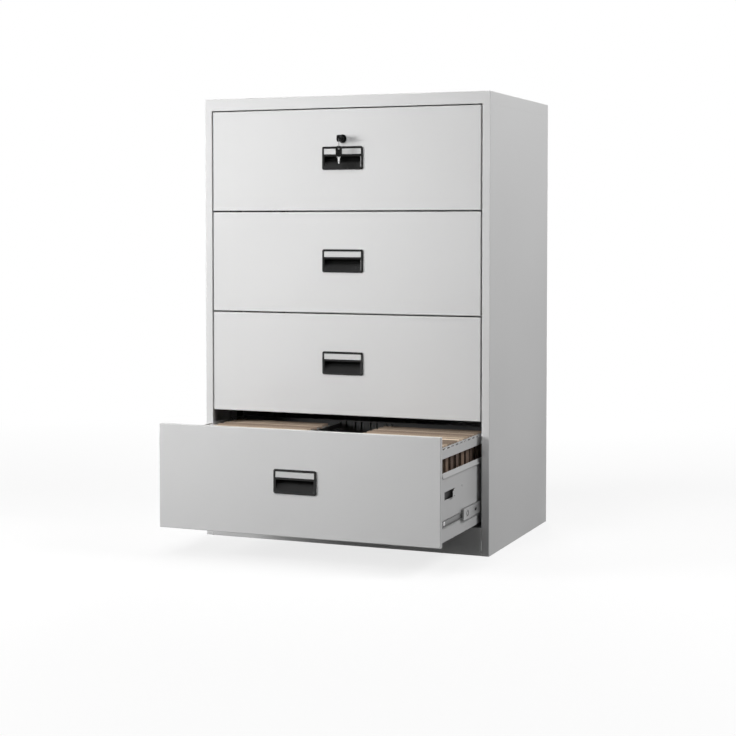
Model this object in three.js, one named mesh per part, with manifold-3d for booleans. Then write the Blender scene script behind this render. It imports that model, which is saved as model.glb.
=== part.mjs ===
// Lateral filing cabinet: a folded steel carcass with four full-width drawers on
// telescopic runners, a gang lock worked from the top drawer, and hanging folders.
// Millimetres, +X to the cabinet's right, +Y from front to back, +Z up.

import * as THREE from 'three';
import { mergeVertices } from 'three/addons/utils/BufferGeometryUtils.js';
import Module from 'manifold-3d';

const wasm = await Module();
wasm.setup();

// Carcass
const cabinetWidth = 900;
const cabinetDepth = 600;
const cabinetHeight = 1320;
const sheet = 1;
const seat = 0.3;
const plinthHeight = 80;
const plinthTopReturn = 35;
const plinthFootReturn = 25;
const topRailHeight = 35;
const topLip = 20;
const topCornerRadius = 3;
const stileWidth = 23;
const stileReturn = 20;
const sideFlange = 20;
const basePanDepth = 38;

// Levelling feet
const footInset = 48;
const glideRadius = 15;
const glideHeight = 6;
const footStemRadius = 4;

// Drawers
const drawerCount = 4;
const frontGap = 4;
const frontThickness = 15;
const frontEdgeRadius = 1.5;
const frontReturn = 12;
const photoOpening = 340;
const trayDepth = 510;
const trayFloorHeight = 7;
const traySideHeight = 256;
const trayFlange = 20;
const runnerSpace = 13;
const windowSill = 194;
const windowHeight = 38;
const windowEnd = 22;
const hemHeight = 14;
const hemProud = 2.5;
const hangLedge = 11;
const hangLedgeDrop = 10;
const railSlotLength = 24;
const railSlotHeight = 4;
const railSlotPitch = 36;
const railSlotDrop = 3;
const backSlotWidth = 4;
const backSlotHeight = 21;
const backSlotDrop = 4;
const backSlotPitch = 50;
const backSlotSpread = 20;

// Lock tongue lanced out of the tray's side
const lanceFront = 43;
const lanceLength = 88;
const tongueLength = 42;
const tongueSill = 121;
const tongueHeight = 18;
const tongueSlit = 2;
const tongueFlare = 9;
const rivetSetback = 192;
const rivetRadius = 4;
const rivetProud = 1.6;

// Hanging frame and folders
const railSpacing = 170;
const railThickness = 2.4;
const railHeight = 15;
const railTab = 4;
const headerThickness = 2.4;
const folderCount = 13;
const folderPitch = 30;
const folderSetback = 40;
const folderDrop = 238;
const folderFlare = 9;
const folderFold = 34;
const folderRise = 8;
const folderSideGap = 6;

// Telescopic runners
const runnerSetback = 25;
const runnerCentre = 58;
const runnerGauge = 1.2;
const runnerRunningGap = 0.4;
const innerRunnerHalf = 8.3;
const innerRunnerDepth = 5;
const midRunnerHalf = 16;
const midRunnerNear = 2.5;
const midRunnerFar = 9;
const midRunnerShort = 10;
const outerRunnerHalf = 22.5;
const outerRunnerNear = 5.5;
const runnerWindowLength = 60;
const runnerWindowHeight = 8;

// Uprights that carry the cabinet members of the runners
const uprightWidth = 40;
const uprightFront = 160;
const uprightRearInset = 45;
const uprightGauge = 1.5;
const uprightGrip = 0.6;

// Recessed pull handle
const handleWidth = 129;
const handleHeight = 68;
const handleCorner = 9;
const handleCentre = 153;
const handleProud = 3;
const handleBorder = 6;
const handleTopBorder = 5;
const labelHeight = 18;
const labelRecess = 1.5;
const labelThickness = 0.7;
const handleBar = 6;
const cupHeight = 32;
const cupDepth = 22;
const cupLip = 4;
const cupUndercut = 8;
const cupWall = 2;
const cupClearance = 0.6;
const cupSlope = 16;

// Cylinder lock and keys
const lockHeight = 209;
const collarRadius = 12.5;
const collarProud = 3;
const barrelRadius = 9;
const barrelLength = 36;
const plugRadius = 6;
const plugClearance = 0.3;
const plugShank = 6;
const camReach = 70.5;
const camWidth = 14;
const camThickness = 3;
const keywayDepth = 24;
const keyThickness = 2;
const keyBladeHeight = 8;
const keyBladeLength = 20;
const keyShoulder = 8;
const bowLength = 24;
const bowHeight = 20;
const bowThickness = 4;
const bowCorner = 7;
const bowHoleInset = 6;
const bowHoleRadius = 3.5;
const ringRadius = 12;
const ringWire = 0.8;
const ringRest = 0.8;
const ringYaw = Math.PI / 4;
const spareBowLength = 31;
const spareBowWidth = 19;

// Gang lock: rocking lever and hook bar
const leverThickness = 3;
const leverHeight = 12;
const leverPivotX = 205;
const leverPivotDrop = 55;
const leverPinRadius = 3;
const leverPinGap = 0.3;
const leverTilt = THREE.MathUtils.degToRad(1.9);
const leverOverhang = 12;
const bracketWidth = 26;
const bracketThickness = 3;
const lockBarWidth = 14;
const lockBarThickness = 4;
const lockBarFloorGap = 20;
const lockBarTopGap = 0.6;
const hookReach = 16;
const hookHeight = 20;
const hookClearance = 2;
const hookPlay = 4;

// Worked out from the sizes above
const halfWidth = cabinetWidth / 2;
const stileInner = halfWidth - stileWidth;
const frontHalf = stileInner - frontGap;
const openingHeight = cabinetHeight - topRailHeight - plinthHeight;
const frontHeight = (openingHeight - (drawerCount + 1) * frontGap) / drawerCount;
const drawerPitch = frontHeight + frontGap;
const sideTop = cabinetHeight - topRailHeight - seat;
const traySide = stileInner - runnerSpace;
const trayFront = frontThickness + seat;
const trayBack = trayFront + trayDepth;
const runnerLength = trayBack - seat - runnerSetback;
const uprightRear = runnerSetback + runnerLength - uprightRearInset;
const trayTop = trayFloorHeight + traySideHeight;
const backPlane = cabinetDepth - sheet - seat;
const runnerBack = runnerSpace - seat;
const basePanTop = plinthHeight - sheet - seat;
const railX = railSpacing / 2;
const railTop = trayTop - hangLedgeDrop;
const handleTop = handleCentre + handleHeight / 2;
const labelTop = handleTop - handleTopBorder;
const labelHalf = handleWidth / 2 - handleBorder;
const cupTop = labelTop - labelHeight - handleBar;
const cupFloor = cupTop - cupHeight;
const cupHalf = labelHalf;
const cupBodyHalf = cupHalf + cupWall;
const cupBodyBack = cupDepth + cupWall;
const cupBodyTop = cupTop + cupUndercut + cupWall;
const cupBodyFloor = cupFloor - cupWall;
const camPlane = barrelLength + leverThickness;
const leverPlane = camPlane;
const keyTip = keyBladeLength - collarProud;
const bowFront = -(collarProud + keyShoulder + bowLength);
const bowHoleY = bowFront + bowHoleInset;
const tongueRoot = trayFront + lanceFront + lanceLength;
const tongueTip = tongueRoot - tongueLength;
const lockBarPlane = tongueTip - hookPlay - lockBarThickness;
const lockBarOuter = halfWidth - sheet - seat;
const lockBarInner = lockBarOuter - lockBarWidth;
const leverPivotZ = cabinetHeight - leverPivotDrop;
const drawerFloors = Array.from({ length: drawerCount }, (_, i) =>
  plinthHeight + frontGap + (drawerCount - 1 - i) * drawerPitch);
const restCentreY = (cabinetDepth - photoOpening - seat - handleProud) / 2;

// Finishes
const paint = { color: 0xd3d4d3, roughness: 0.5, metalness: 0.1 };
const trayPaint = { color: 0xb4b5b5, roughness: 0.5, metalness: 0.15 };
const darkPaint = { color: 0x3a3b3c, roughness: 0.6, metalness: 0.2 };
const zinc = { color: 0x8d9092, roughness: 0.35, metalness: 0.9 };
const blackPlastic = { color: 0x1c1c1d, roughness: 0.55, metalness: 0 };
const card = { color: 0xc9cbcb, roughness: 0.6, metalness: 0 };
const chrome = { color: 0xc4c6c8, roughness: 0.2, metalness: 1 };
const manila = { color: 0xb7996f, roughness: 0.85, metalness: 0 };

// Shape helpers

const axisX = new THREE.Vector3(1, 0, 0);
const axisY = new THREE.Vector3(0, 1, 0);
const axisZ = new THREE.Vector3(0, 0, 1);
const turnTo = {
  x: new THREE.Matrix4().makeBasis(axisY, axisZ, axisX),
  y: new THREE.Matrix4().makeBasis(axisX, axisZ, axisY.clone().negate()),
  z: new THREE.Matrix4(),
};

// A closed solid from a geometry, with shared corners merged and faces outward.
function solid(geometry) {
  const bare = geometry.clone();
  for (const name of Object.keys(bare.attributes)) {
    if (name !== 'position') bare.deleteAttribute(name);
  }
  const merged = mergeVertices(bare, 1e-4);
  const vertProperties = new Float32Array(merged.attributes.position.array);
  const triVerts = new Uint32Array(merged.index.array);
  return new wasm.Manifold(new wasm.Mesh({ numProp: 3, vertProperties, triVerts }));
}

// The part of the sheet where a shape drawn in two axes runs along the third.
function run(shape, axis, from, to, curveSegments = 6) {
  const geometry = new THREE.ExtrudeGeometry(shape, {
    depth: to - from, bevelEnabled: false, curveSegments,
  });
  geometry.applyMatrix4(turnTo[axis]);
  const start = axis === 'y' ? to : from;
  const step = { x: axisX, y: axisY, z: axisZ }[axis];
  geometry.translate(step.x * start, step.y * start, step.z * start);
  return solid(geometry);
}

function block([x0, x1], [y0, y1], [z0, z1]) {
  const geometry = new THREE.BoxGeometry(x1 - x0, y1 - y0, z1 - z0);
  geometry.translate((x0 + x1) / 2, (y0 + y1) / 2, (z0 + z1) / 2);
  return solid(geometry);
}

// A rod along Y.
function rod(radius, from, to, x = 0, z = 0, sides = 20) {
  const geometry = new THREE.CylinderGeometry(radius, radius, to - from, sides);
  geometry.translate(x, (from + to) / 2, z);
  return solid(geometry);
}

function outline(points) {
  return new THREE.Shape(points.map(([u, v]) => new THREE.Vector2(u, v)));
}

function rectangle(u0, u1, v0, v1) {
  return outline([[u0, v0], [u1, v0], [u1, v1], [u0, v1]]);
}

function roundedRectangle(u0, u1, v0, v1, radius) {
  const shape = new THREE.Shape();
  shape.moveTo(u0 + radius, v0);
  shape.absarc(u1 - radius, v0 + radius, radius, -Math.PI / 2, 0);
  shape.absarc(u1 - radius, v1 - radius, radius, 0, Math.PI / 2);
  shape.absarc(u0 + radius, v1 - radius, radius, Math.PI / 2, Math.PI);
  shape.absarc(u0 + radius, v0 + radius, radius, Math.PI, Math.PI * 1.5);
  return shape;
}

// Section of a folded strip: the path is one face, the gauge lies to its left.
function folded(path, gauge) {
  const points = path.map(([u, v]) => new THREE.Vector2(u, v));
  const normals = points.slice(1).map((point, i) => {
    const along = point.clone().sub(points[i]).normalize();
    return new THREE.Vector2(-along.y, along.x);
  });
  const inner = points.map((point, i) => {
    const before = normals[Math.max(i - 1, 0)];
    const after = normals[Math.min(i, normals.length - 1)];
    const mitre = before.clone().add(after);
    return point.clone().addScaledVector(mitre, (2 * gauge) / mitre.lengthSq());
  });
  return new THREE.Shape([...points, ...inner.reverse()]);
}

function join(first, ...others) {
  return others.reduce((whole, part) => whole.add(part), first);
}

function cut(whole, ...tools) {
  return tools.reduce((rest, tool) => rest.subtract(tool), whole);
}

// A named mesh from a solid; side -1 mirrors it across the cabinet's middle plane.
function piece(name, body, finish, side = 1) {
  const { vertProperties, triVerts } = body.getMesh();
  const position = Float32Array.from(vertProperties);
  const index = Uint32Array.from(triVerts);
  if (side < 0) {
    for (let i = 0; i < position.length; i += 3) position[i] = -position[i];
    for (let i = 0; i < index.length; i += 3) {
      [index[i + 1], index[i + 2]] = [index[i + 2], index[i + 1]];
    }
  }
  const geometry = new THREE.BufferGeometry();
  geometry.setAttribute('position', new THREE.BufferAttribute(position, 3));
  geometry.setIndex(new THREE.BufferAttribute(index, 1));
  geometry.computeVertexNormals();
  const mesh = new THREE.Mesh(geometry, new THREE.MeshStandardMaterial(finish));
  mesh.name = name;
  return mesh;
}

const sides = [['left', -1], ['right', 1]];

// Carcass pieces

// One side is a folded C: stile and its return at the front, a flange at the back,
// the foot flange that stands on the floor, and the flange under the top.
function sidePanel() {
  const section = folded([
    [stileInner, stileReturn], [stileInner, 0], [halfWidth, 0],
    [halfWidth, cabinetDepth], [halfWidth - sideFlange, cabinetDepth],
  ], sheet);
  const skin = run(section, 'z', 0, sideTop);
  const flangeX = [halfWidth - sideFlange, halfWidth - sheet / 2];
  const flangeY = [sheet / 2, cabinetDepth - sheet / 2];
  const foot = block(flangeX, flangeY, [0, sheet]);
  const head = block(flangeX, flangeY, [sideTop - sheet, sideTop]);
  return join(skin, foot, head);
}

// The top is a shallow pan turned over, with a lip all round that sits on the sides
// and a bracket inside that carries the lock lever's pivot pin.
function topPanel() {
  const floor = cabinetHeight - topRailHeight;
  const outer = run(
    roundedRectangle(-halfWidth, halfWidth, 0, cabinetDepth, topCornerRadius),
    'z', floor, cabinetHeight, 3,
  );
  const hollow = block(
    [-halfWidth + sheet, halfWidth - sheet],
    [sheet, cabinetDepth - sheet],
    [floor + sheet, cabinetHeight - sheet],
  );
  const mouth = block(
    [-halfWidth + topLip, halfWidth - topLip],
    [topLip, cabinetDepth - topLip],
    [floor - sheet, floor + 2 * sheet],
  );
  const bracketFront = leverPlane - seat - bracketThickness;
  const bracket = block(
    [leverPivotX - bracketWidth / 2, leverPivotX + bracketWidth / 2],
    [bracketFront, bracketFront + bracketThickness],
    [leverPivotZ - leverHeight / 2, cabinetHeight - sheet / 2],
  );
  const pin = rod(
    leverPinRadius, bracketFront + bracketThickness / 2,
    leverPlane + leverThickness + seat, leverPivotX, leverPivotZ,
  );
  return join(cut(outer, hollow, mouth), bracket, pin);
}

function backPanel() {
  const half = halfWidth - sheet - seat;
  return block([-half, half], [backPlane - sheet, backPlane], [sheet + seat, sideTop - sheet - seat]);
}

// The plinth is a folded channel between the stiles, its top return over the base pan.
function plinth() {
  const section = folded([
    [plinthTopReturn, plinthHeight], [0, plinthHeight], [0, 0], [plinthFootReturn, 0],
  ], sheet);
  return run(section, 'x', -stileInner + seat, stileInner - seat);
}

// The base pan is a tray turned over behind the stiles, flanged down on four sides.
function basePan() {
  const half = halfWidth - sheet - seat;
  const front = stileReturn + seat;
  const rear = backPlane - sheet - seat;
  const outer = block([-half, half], [front, rear], [basePanTop - basePanDepth, basePanTop]);
  const inner = block(
    [-half + sheet, half - sheet], [front + sheet, rear - sheet],
    [basePanTop - basePanDepth - sheet, basePanTop - sheet],
  );
  return cut(outer, inner);
}

function levellingFoot() {
  const profile = [
    [0, 0], [glideRadius - 1, 0], [glideRadius, 1], [glideRadius, glideHeight - 2],
    [footStemRadius, glideHeight], [footStemRadius, basePanTop - sheet - seat],
    [0, basePanTop - sheet - seat],
  ].map(([r, z]) => new THREE.Vector2(r, z));
  const geometry = new THREE.LatheGeometry(profile, 16);
  geometry.rotateX(Math.PI / 2);
  return solid(geometry);
}

// Runners. Sections are drawn as (distance out from the tray's side, height).

function runnerSection(path) {
  return folded(path.map(([u, v]) => [traySide + u, v]), runnerGauge);
}

// The drawer's member: a channel open outward, sunk a little into the skin of the tray's
// side that it is welded to.
function innerRunner() {
  const far = seat + innerRunnerDepth;
  const section = runnerSection([
    [far, innerRunnerHalf], [-seat, innerRunnerHalf],
    [-seat, -innerRunnerHalf], [far, -innerRunnerHalf],
  ]);
  return run(section, 'y', runnerSetback, runnerSetback + runnerLength)
    .translate([0, 0, runnerCentre]);
}

// A lipped channel whose rolled edges close round the member that runs in it.
function lippedRunner(near, far, half, innerHalf) {
  const lip = innerHalf + runnerRunningGap;
  return runnerSection([
    [near, -lip], [near, -half], [far, -half], [far, half], [near, half], [near, lip],
  ]);
}

function midRunner() {
  const section = lippedRunner(midRunnerNear, midRunnerFar, midRunnerHalf, innerRunnerHalf);
  const rear = runnerSetback + runnerLength - midRunnerShort;
  const channel = run(section, 'y', runnerSetback, rear);
  const windowStart = (runnerSetback + rear - runnerWindowLength) / 2;
  const window = block(
    [traySide + midRunnerFar - 2 * runnerGauge, traySide + midRunnerFar + runnerGauge],
    [windowStart, windowStart + runnerWindowLength],
    [-runnerWindowHeight / 2, runnerWindowHeight / 2],
  );
  return cut(channel, window);
}

// Two uprights carry the cabinet members of all four runners on one side.
function runnerFrame() {
  const outer = halfWidth - sheet - seat;
  const inner = traySide + runnerBack - uprightGrip;
  const post = (front) => run(folded([
    [outer, front + uprightWidth], [inner, front + uprightWidth], [inner, front], [outer, front],
  ], uprightGauge), 'z', basePanTop + seat, sideTop - sheet - seat);
  const channel = lippedRunner(outerRunnerNear, runnerBack, outerRunnerHalf, midRunnerHalf);
  const members = drawerFloors.map((floor) =>
    run(channel, 'y', runnerSetback, runnerSetback + runnerLength)
      .translate([0, 0, floor + runnerCentre]));
  return join(post(uprightFront), post(uprightRear), ...members);
}

// Drawer pieces, in the drawer's own frame: front face at y 0, front's lower edge at z 0.

// The front is a folded pan with softened edges, cut out for the handle and the lock.
function drawerFront(hasLock) {
  const shape = roundedRectangle(
    -frontHalf + frontEdgeRadius, frontHalf - frontEdgeRadius,
    frontEdgeRadius, frontHeight - frontEdgeRadius, frontEdgeRadius,
  );
  const geometry = new THREE.ExtrudeGeometry(shape, {
    depth: frontThickness, bevelEnabled: true, bevelThickness: frontEdgeRadius,
    bevelSize: frontEdgeRadius, bevelSegments: 2, curveSegments: 2,
  });
  geometry.applyMatrix4(turnTo.y);
  geometry.translate(0, frontThickness + frontEdgeRadius, 0);
  const keep = block([-halfWidth, halfWidth], [-sheet, frontThickness], [-sheet, frontHeight + sheet]);
  const hollow = block(
    [-frontHalf + sheet, frontHalf - sheet],
    [sheet, frontThickness - sheet],
    [sheet, frontHeight - sheet],
  );
  const mouth = block(
    [-frontHalf + frontReturn, frontHalf - frontReturn],
    [frontThickness - 2 * sheet, frontThickness + sheet],
    [frontReturn, frontHeight - frontReturn],
  );
  const cup = block(
    [-cupBodyHalf - cupClearance, cupBodyHalf + cupClearance],
    [-sheet, 2 * sheet],
    [cupBodyFloor - cupClearance, cupBodyTop + cupClearance],
  );
  const pan = cut(solid(geometry).intersect(keep), hollow, mouth, cup);
  return hasLock ? cut(pan, rod(barrelRadius + seat, -sheet, 2 * sheet, 0, lockHeight)) : pan;
}

// The drawer's side: window under the top rail, hem bead on the sill, slots for file
// rails, the lanced tongue that the lock bar's hook stops, and the runner's inner member.
function drawerSide() {
  const skin = [traySide - sheet, traySide];
  const through = [traySide - 2 * sheet, traySide + sheet];
  const holes = [[trayFront + windowEnd, trayBack - windowEnd, windowSill, windowSill + windowHeight]];
  const slotTop = trayTop - railSlotDrop;
  const slotRoom = trayDepth - 2 * windowEnd;
  const slots = Math.floor((slotRoom - railSlotLength) / railSlotPitch) + 1;
  const slotStart = trayFront + (trayDepth - (slots - 1) * railSlotPitch - railSlotLength) / 2;
  for (let i = 0; i < slots; i += 1) {
    const y = slotStart + i * railSlotPitch;
    holes.push([y, y + railSlotLength, slotTop - railSlotHeight, slotTop]);
  }
  holes.push([
    trayFront + lanceFront, tongueRoot,
    tongueSill - tongueSlit, tongueSill + tongueHeight + tongueSlit,
  ]);
  const plate = cut(
    block(skin, [trayFront, trayBack], [trayFloorHeight, trayTop]),
    ...holes.map(([y0, y1, z0, z1]) => block(through, [y0, y1], [z0, z1])),
  );
  const tongue = run(folded([
    [traySide, tongueRoot + tongueSlit], [traySide, tongueRoot - tongueFlare],
    [traySide + tongueFlare, tongueTip + tongueFlare], [traySide + tongueFlare, tongueTip],
  ], -sheet), 'z', tongueSill, tongueSill + tongueHeight);
  const bead = run(
    roundedRectangle(
      traySide - sheet / 2, traySide + hemProud, windowSill - hemHeight, windowSill, hemProud / 2,
    ), 'y', trayFront + windowEnd, trayBack - windowEnd, 2,
  );
  const ledge = block(
    [traySide - hangLedge, traySide - sheet / 2],
    [trayFront + trayFlange, trayBack - sheet - seat],
    [railTop - sheet, railTop],
  );
  const flange = block(
    [traySide - trayFlange, traySide], [trayFront, trayFront + sheet],
    [trayFloorHeight + sheet + seat, trayTop],
  );
  const rivet = new THREE.CylinderGeometry(rivetRadius / 2, rivetRadius, rivetProud + sheet, 10);
  rivet.rotateZ(-Math.PI / 2);
  rivet.translate(
    traySide + (rivetProud - sheet) / 2, trayFront + rivetSetback, tongueSill + tongueHeight,
  );
  return join(plate, tongue, bead, ledge, flange, solid(rivet), innerRunner());
}

function backSlotPlaces() {
  const first = railX - backSlotPitch - backSlotSpread;
  return [first, first + backSlotSpread, railX - backSlotSpread, railX];
}

// The tray's floor and slotted back, one folded sheet between the two sides.
function tray() {
  const half = traySide - sheet - seat;
  const floor = block(
    [-half, half], [trayFront, trayBack], [trayFloorHeight, trayFloorHeight + sheet],
  );
  const slotTop = trayTop - sheet - backSlotDrop;
  const slots = backSlotPlaces().flatMap((x) => [-x, x]).map((x) => block(
    [x - backSlotWidth / 2, x + backSlotWidth / 2],
    [trayBack - 2 * sheet, trayBack + sheet],
    [slotTop - backSlotHeight, slotTop],
  ));
  const back = block(
    [-half, half], [trayBack - sheet, trayBack], [trayFloorHeight, trayTop - sheet],
  );
  return join(floor, cut(back, ...slots));
}

// The handle: a bezel with a label recess over a finger cup that is undercut behind
// the cross bar.
function handle() {
  const half = handleWidth / 2;
  const bezelFront = -seat - handleProud;
  const bezel = run(
    roundedRectangle(-half, half, handleTop - handleHeight, handleTop, handleCorner),
    'y', bezelFront, -seat, 5,
  );
  const body = run(
    rectangle(-cupBodyHalf, cupBodyHalf, cupBodyFloor, cupBodyTop), 'y', -seat - cupWall / 2, cupBodyBack,
  );
  const mouth = bezelFront - seat;
  const cup = run(outline([
    [mouth, cupFloor], [mouth, cupTop], [cupLip, cupTop], [cupLip, cupTop + cupUndercut],
    [cupDepth - cupLip, cupTop + cupUndercut], [cupDepth, cupTop],
    [cupDepth, cupFloor + cupSlope], [cupLip, cupFloor],
  ]), 'x', -cupHalf, cupHalf);
  const label = block(
    [-labelHalf, labelHalf], [mouth, bezelFront + labelRecess], [labelTop - labelHeight, labelTop],
  );
  return cut(join(bezel, body), cup, label);
}

function labelCard() {
  const half = labelHalf - seat;
  const back = -seat - handleProud + labelRecess - seat;
  return run(
    roundedRectangle(-half, half, labelTop - labelHeight + seat, labelTop - seat, 1),
    'y', back - labelThickness, back, 3,
  );
}

// The hanging frame: a header behind the front and two rails hooked into the tray's back.
function fileFrame() {
  const headerY = trayFront + sheet + seat;
  const header = block(
    [-traySide + sheet + seat, traySide - sheet - seat],
    [headerY, headerY + headerThickness],
    [railTop - railHeight, railTop - sheet - seat],
  );
  const rails = [-railX, railX].map((x) => {
    const across = [x - railThickness / 2, x + railThickness / 2];
    const rail = block(across, [headerY, trayBack - sheet - seat], [railTop - railHeight, railTop]);
    const tab = block(
      across, [trayBack - 2 * railHeight, trayBack + railTab], [railTop - railHeight, railTop - sheet],
    );
    return rail.add(tab);
  });
  return join(header, ...rails);
}

// A pack of hanging folders: each folder is a V that flares to its top, hung between
// the tray's ledge and the rail, and joined to its neighbour below the fold.
function folderPack() {
  const points = [];
  const first = trayFront + folderSetback;
  const top = railTop + folderRise;
  const bottom = railTop - folderDrop;
  for (let i = 0; i < folderCount; i += 1) {
    const y = first + i * folderPitch;
    points.push([y + folderFlare, top - folderFold]);
    points.push([y + folderFlare, top]);
    points.push([y + 2 * folderFlare, top]);
    points.push([y + folderPitch - seat, top - folderFold]);
  }
  const last = first + folderCount * folderPitch;
  const profile = outline([[first, bottom], [first, top - folderFold], ...points,
    [last, top - folderFold], [last, bottom]]);
  const pack = run(profile, 'x', railX + folderSideGap, traySide - hangLedge - folderSideGap);
  const bars = Array.from({ length: folderCount }, (_, i) => {
    const y = first + i * folderPitch + folderFlare;
    return block(
      [railX - railThickness, traySide - sheet - seat],
      [y + seat, y + folderFlare - seat],
      [railTop + seat, railTop + seat + folderRise / 2],
    );
  });
  return join(pack, ...bars);
}

// Lock pieces, around the lock's axis along Y.

function lockBarrel() {
  const bore = plugRadius + plugClearance;
  const profile = [
    [bore, -seat - collarProud], [collarRadius - 1, -seat - collarProud],
    [collarRadius, -seat - collarProud + 1], [collarRadius, -seat],
    [barrelRadius, -seat], [barrelRadius, barrelLength], [bore, barrelLength],
    [bore, -seat - collarProud],
  ].map(([r, y]) => new THREE.Vector2(r, y));
  return solid(new THREE.LatheGeometry(profile, 24));
}

function lockPlug() {
  const front = -seat - collarProud;
  const body = rod(plugRadius, front, barrelLength + seat, 0, 0, 24);
  const half = plugShank / 2;
  const shank = block([-half, half], [barrelLength, camPlane + camThickness + seat], [-half, half]);
  const keyway = block(
    [-keyThickness / 2 - seat, keyThickness / 2 + seat],
    [front - 1, front + keywayDepth],
    [-keyBladeHeight / 2 - seat, keyBladeHeight / 2 + seat],
  );
  return cut(join(body, shank), keyway);
}

function lockCam() {
  const half = camWidth / 2;
  const shape = new THREE.Shape();
  shape.moveTo(0, half);
  shape.absarc(0, 0, half, Math.PI / 2, Math.PI * 1.5);
  shape.lineTo(camReach - half, -half);
  shape.absarc(camReach - half, 0, half, -Math.PI / 2, Math.PI / 2);
  const hole = plugShank / 2 + seat;
  shape.holes = [rectangle(-hole, hole, -hole, hole)];
  return run(shape, 'y', camPlane, camPlane + camThickness, 8);
}

// A moulded bow with its ring hole, drawn flat.
function bowOutline(u0, u1, v0, v1, holeU, holeV) {
  const bow = roundedRectangle(u0, u1, v0, v1, bowCorner);
  const hole = new THREE.Path();
  hole.absarc(holeU, holeV, bowHoleRadius, 0, Math.PI * 2);
  bow.holes = [hole];
  return bow;
}

// A blade along the first axis, pointed at its far end.
function bladeOutline(from, to) {
  const half = keyBladeHeight / 2;
  const point = Math.sign(to - from) * half / 2;
  return outline([[from, -half], [to - point, -half], [to, 0], [to - point, half], [from, half]]);
}

function key() {
  const rear = bowFront + bowLength;
  const bow = run(
    bowOutline(bowFront, rear, -bowHeight / 2, bowHeight / 2, bowHoleY, 0),
    'x', -bowThickness / 2, bowThickness / 2, 5,
  );
  const blade = run(bladeOutline(rear - 1, keyTip), 'x', -keyThickness / 2, keyThickness / 2);
  return bow.add(blade);
}

const ringCentre = -ringRest - ringRadius;

function keyRing() {
  const geometry = new THREE.TorusGeometry(ringRadius, ringWire, 6, 28);
  geometry.rotateX(Math.PI / 2);
  geometry.rotateZ(ringYaw);
  geometry.translate(0, bowHoleY, ringCentre);
  return solid(geometry);
}

const spareHole = ringCentre - ringRadius - ringRest;

// The spare key hangs from the ring by its bow, which faces the front, blade down.
function spareKey() {
  const half = spareBowWidth / 2;
  const foot = bowHoleInset - spareBowLength;
  const bow = run(
    bowOutline(-half, half, foot, bowHoleInset, 0, 0), 'y', -bowThickness / 2, bowThickness / 2, 5,
  );
  const blade = bladeOutline(foot + 1, foot - keyBladeLength);
  const upright = outline(blade.getPoints().map(({ x, y }) => [y, x]));
  return bow.add(run(upright, 'y', -keyThickness / 2, keyThickness / 2));
}

// The lever rocks on the bracket's pin, drawn level about its pivot.
function lockLever() {
  const half = leverHeight / 2;
  const left = -leverPivotX - leverOverhang;
  const right = lockBarInner + leverOverhang - leverPivotX;
  const shape = rectangle(left, right, -half, half);
  const hole = new THREE.Path();
  hole.absarc(0, 0, leverPinRadius + leverPinGap, 0, Math.PI * 2);
  shape.holes = [hole];
  return run(shape, 'y', leverPlane, leverPlane + leverThickness, 8);
}

const leverArm = lockBarInner + leverOverhang - leverPivotX;
const lockBarTop = leverPivotZ + (leverArm - leverOverhang) * Math.sin(leverTilt)
  - leverHeight / 2 - lockBarTopGap;

// The hook bar slides down the right side; each hook then stands before a tray's tongue.
// Its head reaches forward under the lever's end.
function lockBar() {
  const depth = [lockBarPlane, lockBarPlane + lockBarThickness];
  const head = block(
    [lockBarInner, lockBarOuter], [leverPlane, lockBarPlane + lockBarThickness],
    [lockBarTop - lockBarThickness, lockBarTop],
  );
  const strip = block(
    [lockBarInner, lockBarOuter], depth, [plinthHeight + lockBarFloorGap, lockBarTop],
  );
  const hooks = drawerFloors.map((floor) => {
    const foot = floor + tongueSill + tongueHeight + hookClearance;
    return block([lockBarInner - hookReach, lockBarInner + 1], depth, [foot, foot + hookHeight]);
  });
  return join(strip, head, ...hooks);
}

// Assembly

const cabinet = new THREE.Group();
cabinet.position.y = -restCentreY;

for (const [name, side] of sides) {
  cabinet.add(piece(`side_panel_${name}`, sidePanel(), paint, side));
  cabinet.add(piece(`runner_frame_${name}`, runnerFrame(), zinc, side));
}
cabinet.add(piece('top_panel', topPanel(), paint));
cabinet.add(piece('back_panel', backPanel(), paint));
cabinet.add(piece('plinth', plinth(), paint));
cabinet.add(piece('base_pan', basePan(), darkPaint));

const footPlaces = [['front', footInset], ['rear', cabinetDepth - footInset]];
for (const [end, y] of footPlaces) {
  for (const [name, side] of sides) {
    const foot = piece(`levelling_foot_${end}_${name}`, levellingFoot(), blackPlastic);
    foot.position.set(side * (halfWidth - footInset), y, 0);
    cabinet.add(foot);
  }
}

drawerFloors.forEach((floor, i) => {
  const number = i + 1;
  const isOpen = number === drawerCount;
  const opening = isOpen ? photoOpening : 0;
  const drawer = new THREE.Group();
  drawer.position.set(0, -opening, floor);
  cabinet.add(drawer);
  drawer.add(piece(`drawer_${number}_front`, drawerFront(number === 1), paint));
  drawer.add(piece(`drawer_${number}_tray`, tray(), trayPaint));
  drawer.add(piece(`drawer_${number}_handle`, handle(), blackPlastic));
  drawer.add(piece(`drawer_${number}_label_card`, labelCard(), card));
  drawer.add(piece(`drawer_${number}_file_frame`, fileFrame(), zinc));
  for (const [name, side] of sides) {
    drawer.add(piece(`drawer_${number}_side_${name}`, drawerSide(), trayPaint, side));
    const mid = piece(`mid_runner_${number}_${name}`, midRunner(), zinc, side);
    mid.position.set(0, -opening / 2, floor + runnerCentre);
    cabinet.add(mid);
    if (isOpen) drawer.add(piece(`hanging_folders_${name}`, folderPack(), manila, side));
  }
});

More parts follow.
